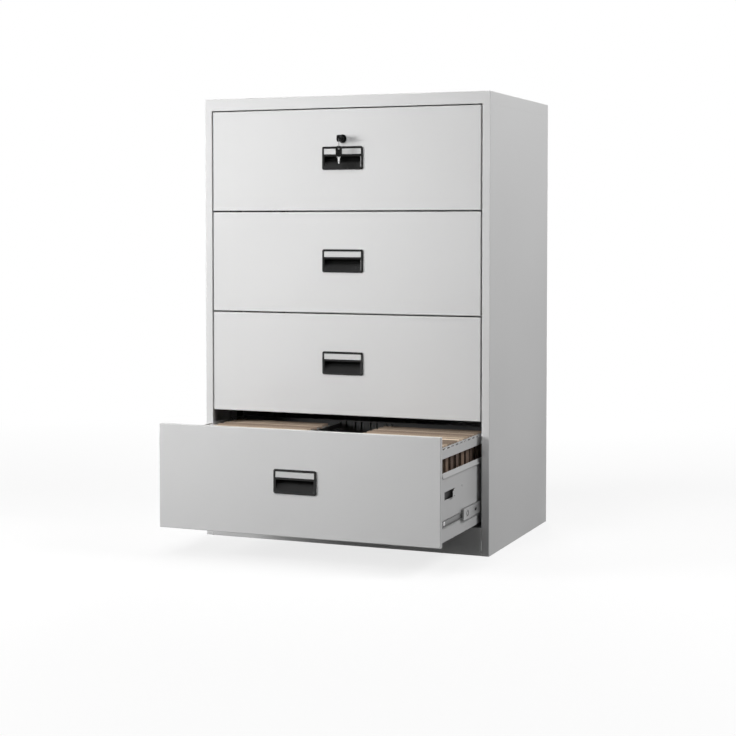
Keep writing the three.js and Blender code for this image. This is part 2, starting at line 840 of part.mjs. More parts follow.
const lock = new THREE.Group();
lock.position.z = drawerFloors[0] + lockHeight;
cabinet.add(lock);
lock.add(piece('lock_barrel', lockBarrel(), chrome));
lock.add(piece('lock_plug', lockPlug(), chrome));
lock.add(piece('lock_cam', lockCam(), zinc));
lock.add(piece('key', key(), blackPlastic));
lock.add(piece('key_ring', keyRing(), chrome));
const spare = piece('spare_key', spareKey(), blackPlastic);
spare.position.set(0, bowHoleY, spareHole);
lock.add(spare);

const lever = piece('lock_lever', lockLever(), zinc);
lever.position.set(leverPivotX, 0, leverPivotZ);
lever.rotation.y = -leverTilt;
cabinet.add(lever);
cabinet.add(piece('lock_bar', lockBar(), zinc));

export default cabinet;
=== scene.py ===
"""Studio scene of a wide four-drawer filing cabinet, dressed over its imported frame."""

import logging
import math
import random
from contextlib import contextmanager
from dataclasses import dataclass, field
from enum import Enum
from typing import Callable, Iterator, Sequence

import bmesh
import bpy
from mathutils import Matrix, Vector


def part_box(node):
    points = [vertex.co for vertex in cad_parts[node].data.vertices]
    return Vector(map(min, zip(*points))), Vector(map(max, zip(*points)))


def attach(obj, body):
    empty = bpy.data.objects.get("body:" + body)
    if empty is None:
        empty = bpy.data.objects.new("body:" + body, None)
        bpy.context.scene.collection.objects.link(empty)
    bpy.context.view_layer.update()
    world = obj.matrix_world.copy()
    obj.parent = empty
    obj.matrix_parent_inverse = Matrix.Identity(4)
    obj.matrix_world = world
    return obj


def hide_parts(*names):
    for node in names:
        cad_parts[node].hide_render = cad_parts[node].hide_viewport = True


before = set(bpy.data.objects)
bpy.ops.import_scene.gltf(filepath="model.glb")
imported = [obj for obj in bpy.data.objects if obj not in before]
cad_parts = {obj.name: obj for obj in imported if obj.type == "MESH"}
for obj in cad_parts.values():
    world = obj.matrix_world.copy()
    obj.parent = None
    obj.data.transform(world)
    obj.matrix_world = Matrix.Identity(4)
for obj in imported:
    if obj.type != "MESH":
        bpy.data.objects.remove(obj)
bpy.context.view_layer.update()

LOG = logging.getLogger("filing_cabinet")
MM = 0.001
DRAWERS = (1, 2, 3, 4)
LOCKED_DRAWER = 1
PATTERN_DRAWER = 2
OPEN_DRAWER = "drawer_4"

# How close a corner lies to a place, and how well a face or an edge keeps a direction, to be picked
NEAR = 0.01 * MM
ALIGNED = 0.99

# Sizes that several sub-assemblies share
BURR = 0.3 * MM
TRIM_GAP = 0.3 * MM
FOLDER_PITCH = 43.3 * MM

# The span that most values of a noise lie in
NOISE_SPAN = (0.3, 0.7)

Colour = tuple[float, float, float, float]
Place = Sequence[float]
Piece = bpy.types.Object
Material = bpy.types.Material
Socket = bpy.types.NodeSocket
Test = Callable[..., bool]

WHITE: Colour = (1.0, 1.0, 1.0, 1.0)


class Axis(Enum):
    """The direction a round bar runs in, as its turn from upright."""

    X = (0.0, math.pi / 2, 0.0)
    Y = (math.pi / 2, 0.0, 0.0)


class Pick(Enum):
    """What edit mode selects."""

    FACE = "FACE"
    EDGE = "EDGE"


class Side(Enum):
    """Left and right of the cabinet, with the sign of X."""

    LEFT = -1
    RIGHT = 1

    @property
    def word(self) -> str:
        """The side's name as the frame's nodes spell it."""
        return self.name.lower()


class Slot(Enum):
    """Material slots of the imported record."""

    LIGHT_PAINT = "light_grey_paint"
    DRAWER_PAINT = "drawer_grey_paint"
    DARK_PAINT = "dark_grey_paint"
    ZINC = "zinc_steel"
    PLASTIC = "black_plastic"
    CHROME = "lock_chrome"
    FOLDER = "folder_card"


# Modelling moves

def facing(*way: float) -> Test:
    """A test for faces that look along a direction."""
    return lambda face: face.normal.dot(Vector(way)) > ALIGNED


def edges_at(test: Callable[[Vector], bool]) -> Test:
    """A test for edges whose two ends both pass a test of place."""
    return lambda edge: all(test(vertex.co) for vertex in edge.verts)


class Bench:
    """Hand-modelling moves in Blender, each on one object in the row frame."""

    SHARP = 32.0
    SMOOTH = 35.0
    DOMED = 50.0
    WELD = 1e-6

    @staticmethod
    def take(piece: Piece) -> None:
        """Select one object alone and make it active.

        Args:
            piece: The object.
        """
        bpy.ops.object.select_all(action="DESELECT")
        piece.select_set(True)
        bpy.context.view_layer.objects.active = piece

    @staticmethod
    def rename(piece: Piece, name: str) -> Piece:
        """Name an object and its mesh alike.

        Args:
            piece: The object.
            name: Its new name.

        Returns:
            The same object.
        """
        piece.name = name
        piece.data.name = name
        return piece

    @classmethod
    def start(cls, name: str, primitive: Callable[..., object], **settings: object) -> Piece:
        """Add a primitive and put its place into its mesh.

        Args:
            name: The piece's name.
            primitive: Blender's operator that adds it.
            settings: The operator's own settings.

        Returns:
            The object, at the origin, unturned and unscaled.
        """
        bpy.ops.object.select_all(action="DESELECT")
        primitive(**settings)
        piece = cls.rename(bpy.context.active_object, name)
        bpy.ops.object.transform_apply(location=True, rotation=True, scale=True)
        return piece

    @classmethod
    def block(cls, name: str, low: Place, high: Place) -> Piece:
        """Add a box between its lowest and its highest corner."""
        low, high = Vector(low), Vector(high)
        return cls.start(name, bpy.ops.mesh.primitive_cube_add, size=1.0,
                         location=(low + high) / 2, scale=high - low)

    @classmethod
    def rod(cls, name: str, centre: Place, radius: float, length: float, axis: Axis,
            sides: int = 48) -> Piece:
        """Add a round bar about its middle, with a number of sides."""
        return cls.start(name, bpy.ops.mesh.primitive_cylinder_add, vertices=sides, radius=radius,
                         depth=length, location=centre, rotation=axis.value)

    @classmethod
    def strip(cls, name: str, first: Place, last: Place, path: Sequence[Place]) -> Piece:
        """Drag a straight edge along a path.

        Args:
            name: The piece's name.
            first: One end of the edge.
            last: Its other end.
            path: The moves, one after the other.

        Returns:
            A sheet with no thickness yet.
        """
        sheet = cls.start(name, bpy.ops.mesh.primitive_plane_add, size=1.0)
        for vertex in sheet.data.vertices:
            vertex.co = first if vertex.co.x < 0 else last
        bpy.ops.object.mode_set(mode="EDIT")
        bpy.ops.mesh.select_mode(type="VERT")
        bpy.ops.mesh.select_all(action="SELECT")
        bpy.ops.mesh.remove_doubles(threshold=cls.WELD)
        bpy.ops.mesh.select_mode(type="EDGE")
        bpy.ops.mesh.select_all(action="SELECT")
        for move in path:
            cls.extrude(*move)
        bpy.ops.mesh.select_all(action="SELECT")
        bpy.ops.mesh.normals_make_consistent(inside=False)
        bpy.ops.object.mode_set(mode="OBJECT")
        return sheet

    @classmethod
    def pick(cls, piece: Piece, test: Test, kind: Pick) -> None:
        """Enter edit mode with the faces or edges that pass a test selected.

        Args:
            piece: The object to edit.
            test: Called with each BMesh face or edge.
            kind: Whether faces or edges are selected.
        """
        cls.take(piece)
        bpy.ops.object.mode_set(mode="EDIT")
        bpy.ops.mesh.select_mode(type=kind.value)
        bpy.ops.mesh.select_all(action="DESELECT")
        mesh = bmesh.from_edit_mesh(piece.data)
        mesh.normal_update()
        for part in mesh.faces if kind is Pick.FACE else mesh.edges:
            if test(part):
                part.select_set(True)
        mesh.select_flush_mode()
        bmesh.update_edit_mesh(piece.data)

    @classmethod
    @contextmanager
    def editing(cls, piece: Piece, test: Test, kind: Pick = Pick.FACE) -> Iterator[None]:
        """Hold a piece in edit mode while moves act on what a test picks.

        Args:
            piece: The object to edit.
            test: Called with each BMesh face or edge.
            kind: Whether faces or edges are selected.

        Returns:
            A context whose end leaves edit mode.
        """
        cls.pick(piece, test, kind)
        yield
        bpy.ops.object.mode_set(mode="OBJECT")

    @staticmethod
    def extrude(*move: float) -> None:
        """Extrude the selection by a move."""
        bpy.ops.mesh.extrude_region_move(TRANSFORM_OT_translate={"value": move})

    @classmethod
    def bevel(cls, piece: Piece, test: Test, radius: float, steps: int,
              kind: Pick = Pick.EDGE) -> None:
        """Round the edges that a test picks, or those of the faces that it picks."""
        with cls.editing(piece, test, kind):
            bpy.ops.mesh.bevel(offset=radius, segments=steps, affect="EDGES")

    @classmethod
    def round_corners(cls, piece: Piece, along: int, radius: float, steps: int) -> None:
        """Round the edges that run along one axis.

        Args:
            piece: The object to edit.
            along: Index of the axis.
            radius: Radius of the corners.
            steps: Faces across each corner.
        """
        def runs_along(edge: bmesh.types.BMEdge) -> bool:
            """True for an edge along the axis."""
            way = edge.verts[1].co - edge.verts[0].co
            return abs(way[along]) > ALIGNED * way.length

        cls.bevel(piece, runs_along, radius, steps)

    @classmethod
    def modify(cls, piece: Piece, kind: str, **settings: object) -> None:
        """Add a modifier and apply it.

        Args:
            piece: The object to change.
            kind: Blender's type of modifier.
            settings: The modifier's own settings.
        """
        modifier = piece.modifiers.new(kind.title(), kind)
        for key, value in settings.items():
            setattr(modifier, key, value)
        cls.take(piece)
        bpy.ops.object.modifier_apply(modifier=modifier.name)

    @classmethod
    def smooth(cls, piece: Piece, degrees: float = SMOOTH) -> Piece:
        """Shade a piece smooth up to an angle, with its large faces kept flat.

        Args:
            piece: The object to shade.
            degrees: The angle from which an edge stays sharp.

        Returns:
            The same object.
        """
        cls.take(piece)
        bpy.ops.object.shade_smooth_by_angle(angle=math.radians(degrees))
        cls.modify(piece, "WEIGHTED_NORMAL", keep_sharp=True)
        return piece

    @classmethod
    def soften(cls, piece: Piece, width: float = BURR, steps: int = 2) -> Piece:
        """Round every sharp edge.

        Args:
            piece: The object to soften.
            width: Width of the rounding, by default that of a cut sheet's edge.
            steps: Faces across it.

        Returns:
            The same object, shaded smooth.
        """
        cls.modify(piece, "BEVEL", width=width, segments=steps, limit_method="ANGLE",
                   angle_limit=math.radians(cls.SHARP), harden_normals=False)
        return cls.smooth(piece)

    @classmethod
    def thicken(cls, sheet: Piece, gauge: float) -> None:
        """Give a sheet its thickness, half to each side."""
        cls.modify(sheet, "SOLIDIFY", thickness=gauge, offset=0.0)

    @classmethod
    def combine(cls, piece: Piece, operation: str, others: Sequence[Piece]) -> Piece:
        """Join or cut a piece with other solids and delete them.

        Args:
            piece: The object that stays.
            operation: Blender's name of the boolean.
            others: The solids that are used up.

        Returns:
            The same piece.
        """
        for other in others:
            cls.modify(piece, "BOOLEAN", operation=operation, object=other, solver="EXACT")
            bpy.data.objects.remove(other)
        return piece

    @classmethod
    def subtract(cls, piece: Piece, *cutters: Piece) -> Piece:
        """Cut other solids out of a piece."""
        return cls.combine(piece, "DIFFERENCE", cutters)

    @classmethod
    def weld(cls, piece: Piece, *others: Piece) -> Piece:
        """Fuse other solids into a piece."""
        return cls.combine(piece, "UNION", others)

    @classmethod
    def gather(cls, pieces: Sequence[Piece], name: str = "") -> Piece:
        """Join loose pieces of one finish into the first of them.

        Args:
            pieces: The pieces to join.
            name: What the whole is called, if not as the first of them.

        Returns:
            The first piece, with the others in it.
        """
        cls.take(pieces[0])
        for piece in pieces[1:]:
            piece.select_set(True)
        if len(pieces) > 1:
            bpy.ops.object.join()
        return cls.rename(pieces[0], name or pieces[0].name)

    @classmethod
    def copy(cls, piece: Piece, name: str, move: Place = (0, 0, 0)) -> Piece:
        """Copy a piece with its own mesh.

        Args:
            piece: The object to copy.
            name: The copy's name.
            move: How far the copy lies from it.

        Returns:
            The copy, with the move in its mesh.
        """
        twin = piece.copy()
        twin.data = piece.data.copy()
        cls.rename(twin, name)
        twin.data.transform(Matrix.Translation(Vector(move)))
        bpy.context.scene.collection.objects.link(twin)
        return twin

    @classmethod
    def spread(cls, piece: Piece, moves: Sequence[Place]) -> list[Piece]:
        """Copy a piece to several places and delete it.

        Args:
            piece: The object to copy.
            moves: How far each copy lies from it.

        Returns:
            The copies.
        """
        copies = [cls.copy(piece, piece.name, move) for move in moves]
        bpy.data.objects.remove(piece)
        return copies

    @classmethod
    def mirror(cls, piece: Piece, name: str) -> Piece:
        """Copy a piece across the cabinet's middle plane.

        Args:
            piece: The object to copy.
            name: The copy's name.

        Returns:
            The copy, facing outwards again.
        """
        twin = cls.copy(piece, name)
        twin.data.transform(Matrix.Scale(-1.0, 4, Vector((1.0, 0.0, 0.0))))
        twin.data.flip_normals()
        return cls.smooth(twin)


def paint(piece: Piece, finish: Material) -> None:
    """Give a piece or a CAD node one material."""
    piece.data.materials.clear()
    piece.data.materials.append(finish)


def paint_nodes(finish: Material, *names: str) -> None:
    """Give CAD nodes that stay a better material.

    Args:
        finish: The material.
        names: The nodes.
    """
    for name in names:
        paint(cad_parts[name], finish)
        LOG.info("%s keeps its CAD form in %s", name, finish.name)


def dress(piece: Piece, finish: Material, slot: Slot, body: str, *nodes: str) -> None:
    """Give a piece its finish and body, and hide the CAD nodes it stands for.

    Args:
        piece: The finished mesh.
        finish: Its material.
        slot: Not used.
        body: The CAD body it moves with.
        nodes: CAD nodes that it replaces.
    """
    paint(piece, finish)
    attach(piece, body)
    if nodes:
        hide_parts(*nodes)
    LOG.info("%s rides on %s with %d faces", piece.name, body, len(piece.data.polygons))


def dress_pair(right: Piece, stem: str, finish: Material, slot: Slot, body: str,
               node_stem: str = "") -> None:
    """Mirror a right-hand piece to the left and dress both.

    Args:
        right: The finished mesh on the right.
        stem: The pieces' name without the side.
        finish: Their material.
        slot: The record's slot for them.
        body: The CAD body they move with.
        node_stem: The CAD nodes that they replace, without the side.
    """
    pair = {Side.LEFT: Bench.mirror(right, f"{stem}_{Side.LEFT.word}"),
            Side.RIGHT: Bench.rename(right, f"{stem}_{Side.RIGHT.word}")}
    for side, piece in pair.items():
        nodes = [f"{node_stem}_{side.word}"] if node_stem else []
        dress(piece, finish, slot, body, *nodes)


def sides_of(stem: str) -> list[str]:
    """The names of a left and a right node."""
    return [f"{stem}_{side.word}" for side in Side]


# Finishes

class Wiring:
    """Adds and links the nodes of one tree."""

    def __init__(self, tree: bpy.types.NodeTree) -> None:
        """Keep the tree that the nodes go into."""
        self.tree = tree

    def put(self, socket: Socket, value: object) -> None:
        """Link an output to a socket, or set the socket's own value.

        Args:
            socket: The input.
            value: An output socket or a plain value.
        """
        if isinstance(value, Socket):
            self.tree.links.new(value, socket)
        else:
            socket.default_value = value

    def add(self, kind: str, inputs: dict | None = None, **settings: object) -> bpy.types.Node:
        """Add a node, with its settings and with values or links on its inputs.

        Args:
            kind: Blender's node type, without the ShaderNode in front.
            inputs: Values or output sockets, by socket name or number.
            settings: The node's own settings.

        Returns:
            The new node.
        """
        node = self.tree.nodes.new("ShaderNode" + kind)
        for key, value in settings.items():
            setattr(node, key, value)
        for socket, value in (inputs or {}).items():
            self.put(node.inputs[socket], value)
        return node

    def math(self, operation: str, first: object, second: object = 0.0, clamp: bool = False) -> Socket:
        """Add a Math node and return its output."""
        node = self.add("Math", {0: first, 1: second}, operation=operation, use_clamp=clamp)
        return node.outputs[0]

    def times(self, first: object, *others: object) -> Socket:
        """Multiply masks and values with each other.

        Args:
            first: A socket or a value.
            others: What it is multiplied by.

        Returns:
            The product.
        """
        for other in others:
            first = self.math("MULTIPLY", first, other)
        return first

    def ramp(self, value: Socket, low: float, high: float, to_low: float = 0.0,
             to_high: float = 1.0) -> Socket:
        """Map a value from one range onto another, clamped."""
        node = self.add("MapRange", {"Value": value, "From Min": low, "From Max": high,
                                     "To Min": to_low, "To Max": to_high})
        return node.outputs[0]

    def mix(self, factor: Socket, first: object, second: object) -> Socket:
        """Mix two colours.

        Args:
            factor: How much of the second colour shows.
            first: A colour or an output socket.
            second: A colour or an output socket.

        Returns:
            The mixed colour.
        """
        node = self.add("Mix", data_type="RGBA")
        for name, value in (("Factor", factor), ("A", first), ("B", second)):
            self.put(next(s for s in node.inputs if s.name == name and s.enabled), value)
        return next(s for s in node.outputs if s.enabled)

    def place(self) -> Socket:
        """Object coordinates."""
        return self.add("TexCoord").outputs["Object"]

    def part_of(self, vector: Socket, axis: str) -> Socket:
        """One coordinate of a vector."""
        return self.add("SeparateXYZ", {0: vector}).outputs[axis]

    def normal(self) -> Socket:
        """The surface's own normal."""
        return self.add("NewGeometry").outputs["Normal"]

    def noise(self, scale: object, detail: float, stretch: Place | None = None,
              roughness: float = 0.5) -> Socket:
        """Noise on Object coordinates.

        Args:
            scale: Its scale, or the socket that gives it.
            detail: Its octaves.
            stretch: Scale along each axis, for noise that runs one way.
            roughness: How much the fine octaves count.

        Returns:
            The noise's value.
        """
        place = self.place()
        if stretch:
            place = self.add("Mapping", {"Vector": place, "Scale": stretch}).outputs[0]
        made = self.add("TexNoise", {"Vector": place, "Scale": scale, "Detail": detail,
                                     "Roughness": roughness})
        return made.outputs["Fac"]

    def steps(self, along: Socket, pitch: float) -> Socket:
        """A random value for each stretch of one pitch."""
        step = self.math("FLOOR", self.math("DIVIDE", along, pitch))
        return self.add("TexWhiteNoise", {"W": step}, noise_dimensions="1D").outputs["Value"]


class Effect(Wiring):
    """A node group under construction, with float sockets."""

    def __init__(self, name: str, inputs: dict[str, float], *outputs: str) -> None:
        """Open the group.

        Args:
            name: The group's name.
            inputs: Input names with their defaults.
            outputs: Output names.
        """
        super().__init__(bpy.data.node_groups.new(name, "ShaderNodeTree"))
        for key, value in inputs.items():
            self.socket(key, "INPUT").default_value = value
        for key in outputs:
            self.socket(key, "OUTPUT")
        self.entry = self.tree.nodes.new("NodeGroupInput")
        self.exit = self.tree.nodes.new("NodeGroupOutput")

    def socket(self, key: str, way: str) -> bpy.types.NodeTreeInterfaceSocket:
        """Add a float socket to the group."""
        return self.tree.interface.new_socket(key, in_out=way, socket_type="NodeSocketFloat")

    def given(self, key: str) -> Socket:
        """The value that a material gives to an input."""
        return self.entry.outputs[key]

    def give(self, **values: Socket) -> bpy.types.NodeTree:
        """Send values out of the group.

        Args:
            values: What each output gives.

        Returns:
            The group's tree.
        """
        for key, value in values.items():
            self.put(self.exit.inputs[key], value)
        return self.tree


class Effects:
    """Node groups that several finishes share, each built once."""

    def __init__(self) -> None:
        """Build every group."""
        self.peel = self.orange_peel()
        self.wear = self.edge_wear()
        self.dust = self.settled_dust()
        self.scuff = self.hairline_scuffs()
        self.rolled = self.rolled_marks()

    @staticmethod
    def orange_peel() -> bpy.types.NodeTree:
        """Fine ripples of a powder coat, with a broad drift of tone."""
        group = Effect("Orange peel", {"Scale": 420.0}, "Height", "Drift")
        return group.give(Height=group.noise(group.given("Scale"), 1.5), Drift=group.noise(2.6, 3.0))

    @staticmethod
    def edge_wear() -> bpy.types.NodeTree:
        """Mask along sharp edges, broken up by noise.

        Returns:
            The group's tree.
        """
        group = Effect("Edge wear", {"Width": 1.5 * MM, "Break": 60.0}, "Mask")
        rounded = group.add("Bevel", {"Radius": group.given("Width")}, samples=4).outputs[0]
        turned = group.add("VectorMath", {0: rounded, 1: group.normal()}, operation="DOT_PRODUCT")
        flat, worn = 0.995, 0.86
        edge = group.ramp(turned.outputs["Value"], flat, worn)
        whole, chipped = 0.42, 0.62
        chips = group.ramp(group.noise(group.given("Break"), 3.0), whole, chipped)
        return group.give(Mask=group.times(edge, chips))

    @staticmethod
    def settled_dust() -> bpy.types.NodeTree:
        """Mask of faint dust on faces that look up.

        Returns:
            The group's tree.
        """
        group = Effect("Settled dust", {"Amount": 0.2}, "Mask")
        tilted, level = 0.6, 0.98
        up = group.ramp(group.part_of(group.normal(), "Z"), tilted, level)
        bare, covered = 0.35, 0.7
        patch = group.ramp(group.noise(9.0, 4.0), bare, covered)
        return group.give(Mask=group.times(up, patch, group.given("Amount")))

    @staticmethod
    def hairline_scuffs() -> bpy.types.NodeTree:
        """Mask of sparse fine rubs.

        Returns:
            The group's tree.
        """
        group = Effect("Hairline scuffs", {"Amount": 0.3}, "Mask")
        clean, rubbed = 0.66, 0.74
        lines = group.ramp(group.noise(26.0, 2.0, (1.0, 1.0, 14.0), 0.6), clean, rubbed)
        calm, busy = 0.5, 0.68
        zones = group.ramp(group.noise(3.0, 2.0), calm, busy)
        return group.give(Mask=group.times(lines, zones, group.given("Amount")))

    @staticmethod
    def rolled_marks() -> bpy.types.NodeTree:
        """Rolling marks along Y with plating spangle.

        Returns:
            The group's tree.
        """
        group = Effect("Rolled marks", {"Scale": 260.0}, "Lines", "Spangle")
        lines = group.noise(group.given("Scale"), 3.0, (1.0, 0.02, 1.0))
        cells = group.add("TexVoronoi", {"Vector": group.place(), "Scale": 130.0})
        tone = group.add("SeparateColor", {0: cells.outputs["Color"]}).outputs[0]
        return group.give(Lines=lines, Spangle=tone)


def tint(red: float, green: float, blue: float) -> Colour:
    """A linear colour from sRGB values."""
    def linear(value: float) -> float:
        """One channel, decoded."""
        return value / 12.92 if value <= 0.04045 else ((value + 0.055) / 1.055) ** 2.4

    return linear(red), linear(green), linear(blue), 1.0


def grey(level: float) -> Colour:
    """A linear grey from its sRGB level."""
    return tint(level, level, level)


def shaded(colour: Colour, by: float) -> Colour:
    """A colour scaled in brightness."""
    return colour[0] * by, colour[1] * by, colour[2] * by, 1.0


@dataclass(frozen=True)
class EdgeWear:
    """Rubbed edges: their width, how finely they break up and how much of them shows."""

    width: float
    fineness: float
    amount: float


@dataclass(frozen=True)
class Relief:
    """Fine relief: the strength of its bump and its depth."""

    strength: float
    depth: float


class Surface(Wiring):
    """The nodes of one material, round its Principled shader."""

    def __init__(self, name: str) -> None:
        """Open a new material.

        Args:
            name: Its name.
        """
        self.material = bpy.data.materials.new(name)
        self.material.use_nodes = True
        super().__init__(self.material.node_tree)
        self.shader = self.tree.nodes["Principled BSDF"]

    def effect(self, tree: bpy.types.NodeTree, **values: float) -> bpy.types.Node:
        """Place a shared group with its own values."""
        return self.add("Group", values, node_tree=tree)

    def worn(self, effects: Effects, wear: EdgeWear, tone: Socket,
             rubbed: Colour) -> tuple[Socket, Socket]:
        """Show another colour along the edges.

        Args:
            effects: The shared groups.
            wear: The wear's sizes.
            tone: The colour so far.
            rubbed: The colour where it is rubbed.

        Returns:
            The new colour and the mask of the wear.
        """
        mask = self.effect(effects.wear, Width=wear.width, Break=wear.fineness).outputs["Mask"]
        return self.mix(self.times(mask, wear.amount), tone, rubbed), mask

    def close(self, tone: Socket, rough: Socket, height: Socket, relief: Relief) -> Material:
        """Wire the shader up.

        Args:
            tone: Its colour.
            rough: Its roughness.
            height: What its relief follows.
            relief: How strong and deep that is.

        Returns:
            The finished material.
        """
        bump = self.add("Bump", {"Height": height, "Strength": relief.strength,
                                 "Distance": relief.depth})
        ends = {"Base Color": tone, "Roughness": rough, "Normal": bump.outputs[0]}
        for socket, value in ends.items():
            self.put(self.shader.inputs[socket], value)
        return self.material


@dataclass(frozen=True)
class PowderCoat:
    """Baked powder coat on folded steel, with peel, rubbed edges, scuffs and dust."""

    name: str
    colour: Colour
    roughness: float
    dust: float
    peel_scale: float = 420.0
    drift: tuple[float, float] = (0.965, 1.03)
    rubbed: float = 1.22
    dust_colour: Colour = tint(0.72, 0.70, 0.66)
    smoother: float = 0.05
    rougher: float = 0.06
    scuffs: float = 0.3
    scuff_polish: float = 0.25
    dust_dulling: float = 0.6
    wear: EdgeWear = EdgeWear(1.6 * MM, 45.0, 0.35)
    relief: Relief = Relief(0.12, 0.4 * MM)

    def material(self, effects: Effects) -> Material:
        """Build the coat.

        Args:
            effects: The shared groups.

        Returns:
            The material.
        """
        surface = Surface(self.name)
        peel = surface.effect(effects.peel, Scale=self.peel_scale).outputs
        dust = surface.effect(effects.dust, Amount=self.dust).outputs["Mask"]
        scuff = surface.effect(effects.scuff, Amount=self.scuffs).outputs["Mask"]
        tone = surface.mix(peel["Drift"], *(shaded(self.colour, by) for by in self.drift))
        tone, _ = surface.worn(effects, self.wear, tone, shaded(self.colour, self.rubbed))
        tone = surface.mix(dust, tone, self.dust_colour)
        rough = surface.ramp(peel["Drift"], *NOISE_SPAN, self.roughness - self.smoother,
                             self.roughness + self.rougher)
        rough = surface.math("SUBTRACT", rough, surface.times(scuff, self.scuff_polish))
        rough = surface.math("ADD", rough, surface.times(dust, self.dust_dulling), clamp=True)
        return surface.close(tone, rough, peel["Height"], self.relief)


@dataclass(frozen=True)
class PlatedSteel:
    """Zinc or nickel plated steel, with rolling marks, spangle and bright edges."""

    name: str
    colour: Colour
    roughness: float
    spangle: float
    mark_scale: float = 260.0
    spangle_shade: float = 0.55
    rubbed: float = 1.25
    smoother: float = 0.08
    rougher: float = 0.1
    wear: EdgeWear = EdgeWear(0.8 * MM, 90.0, 0.4)
    relief: Relief = Relief(0.1, 0.2 * MM)

    def material(self, effects: Effects) -> Material:
        """Build the plating.

        Args:
            effects: The shared groups.

        Returns:
            The material.
        """
        surface = Surface(self.name)
        surface.shader.inputs["Metallic"].default_value = 1.0
        rolled = surface.effect(effects.rolled, Scale=self.mark_scale).outputs
        spread = surface.times(rolled["Spangle"], self.spangle)
        tone = surface.mix(spread, self.colour, shaded(self.colour, self.spangle_shade))
        tone, _ = surface.worn(effects, self.wear, tone, shaded(self.colour, self.rubbed))
        rough = surface.ramp(rolled["Lines"], *NOISE_SPAN, self.roughness - self.smoother,
                             self.roughness + self.rougher)
        return surface.close(tone, rough, rolled["Lines"], self.relief)


@dataclass(frozen=True)
class MouldedPlastic:
    """Moulded plastic with a fine spark-eroded grain and finger-polished edges."""

    name: str
    colour: Colour = grey(0.07)
    roughness: float = 0.24
    gloss: float = 0.36
    grain_scale: float = 1500.0
    drift_scale: float = 30.0
    drift: tuple[float, float] = (0.8, 1.25)
    rubbed: float = 1.5
    smoother: float = 0.02
    rougher: float = 0.04
    polish: float = 0.12
    wear: EdgeWear = EdgeWear(1.4 * MM, 60.0, 0.4)
    relief: Relief = Relief(0.12, 0.2 * MM)

    def material(self, effects: Effects) -> Material:
        """Build the plastic.

        Args:
            effects: The shared groups.

        Returns:
            The material.
        """
        surface = Surface(self.name)
        surface.shader.inputs["Specular IOR Level"].default_value = self.gloss
        grain = surface.noise(self.grain_scale, 2.0)
        drift = surface.noise(self.drift_scale, 3.0)
        tone = surface.mix(drift, *(shaded(self.colour, by) for by in self.drift))
        tone, mask = surface.worn(effects, self.wear, tone, shaded(self.colour, self.rubbed))
        rough = surface.ramp(drift, *NOISE_SPAN, self.roughness - self.smoother,
                             self.roughness + self.rougher)
        rough = surface.math("SUBTRACT", rough, surface.times(mask, self.polish))
        return surface.close(tone, rough, grain, self.relief)


@dataclass(frozen=True)
class RuledCard:
    """Label card with fine ruled lines and paper fibre."""

    name: str
    colour: Colour = grey(0.79)
    roughness: tuple[float, float] = (0.45, 0.6)
    line_pitch: float = 4.2 * MM
    line_edge: tuple[float, float] = (0.55, 0.95)
    line_amount: float = 0.3
    line_shade: float = 0.6
    fibre_scale: float = 700.0
    fibre_stretch: tuple[float, float, float] = (0.3, 1.0, 1.0)
    fibre_tones: tuple[float, float] = (0.9, 1.08)
    relief: Relief = Relief(0.1, 0.2 * MM)

    def material(self) -> Material:
        """Build the card.

        Returns:
            The material.
        """
        surface = Surface(self.name)
        height = surface.part_of(surface.place(), "Z")
        wave = surface.math("SINE", surface.times(height, 2 * math.pi / self.line_pitch))
        line = surface.times(surface.ramp(wave, *self.line_edge), self.line_amount)
        fibre = surface.noise(self.fibre_scale, 3.0, self.fibre_stretch)
        tone = surface.mix(fibre, *(shaded(self.colour, by) for by in self.fibre_tones))
        tone = surface.mix(line, tone, shaded(self.colour, self.line_shade))
        rough = surface.ramp(fibre, *NOISE_SPAN, *self.roughness)
        return surface.close(tone, rough, fibre, self.relief)


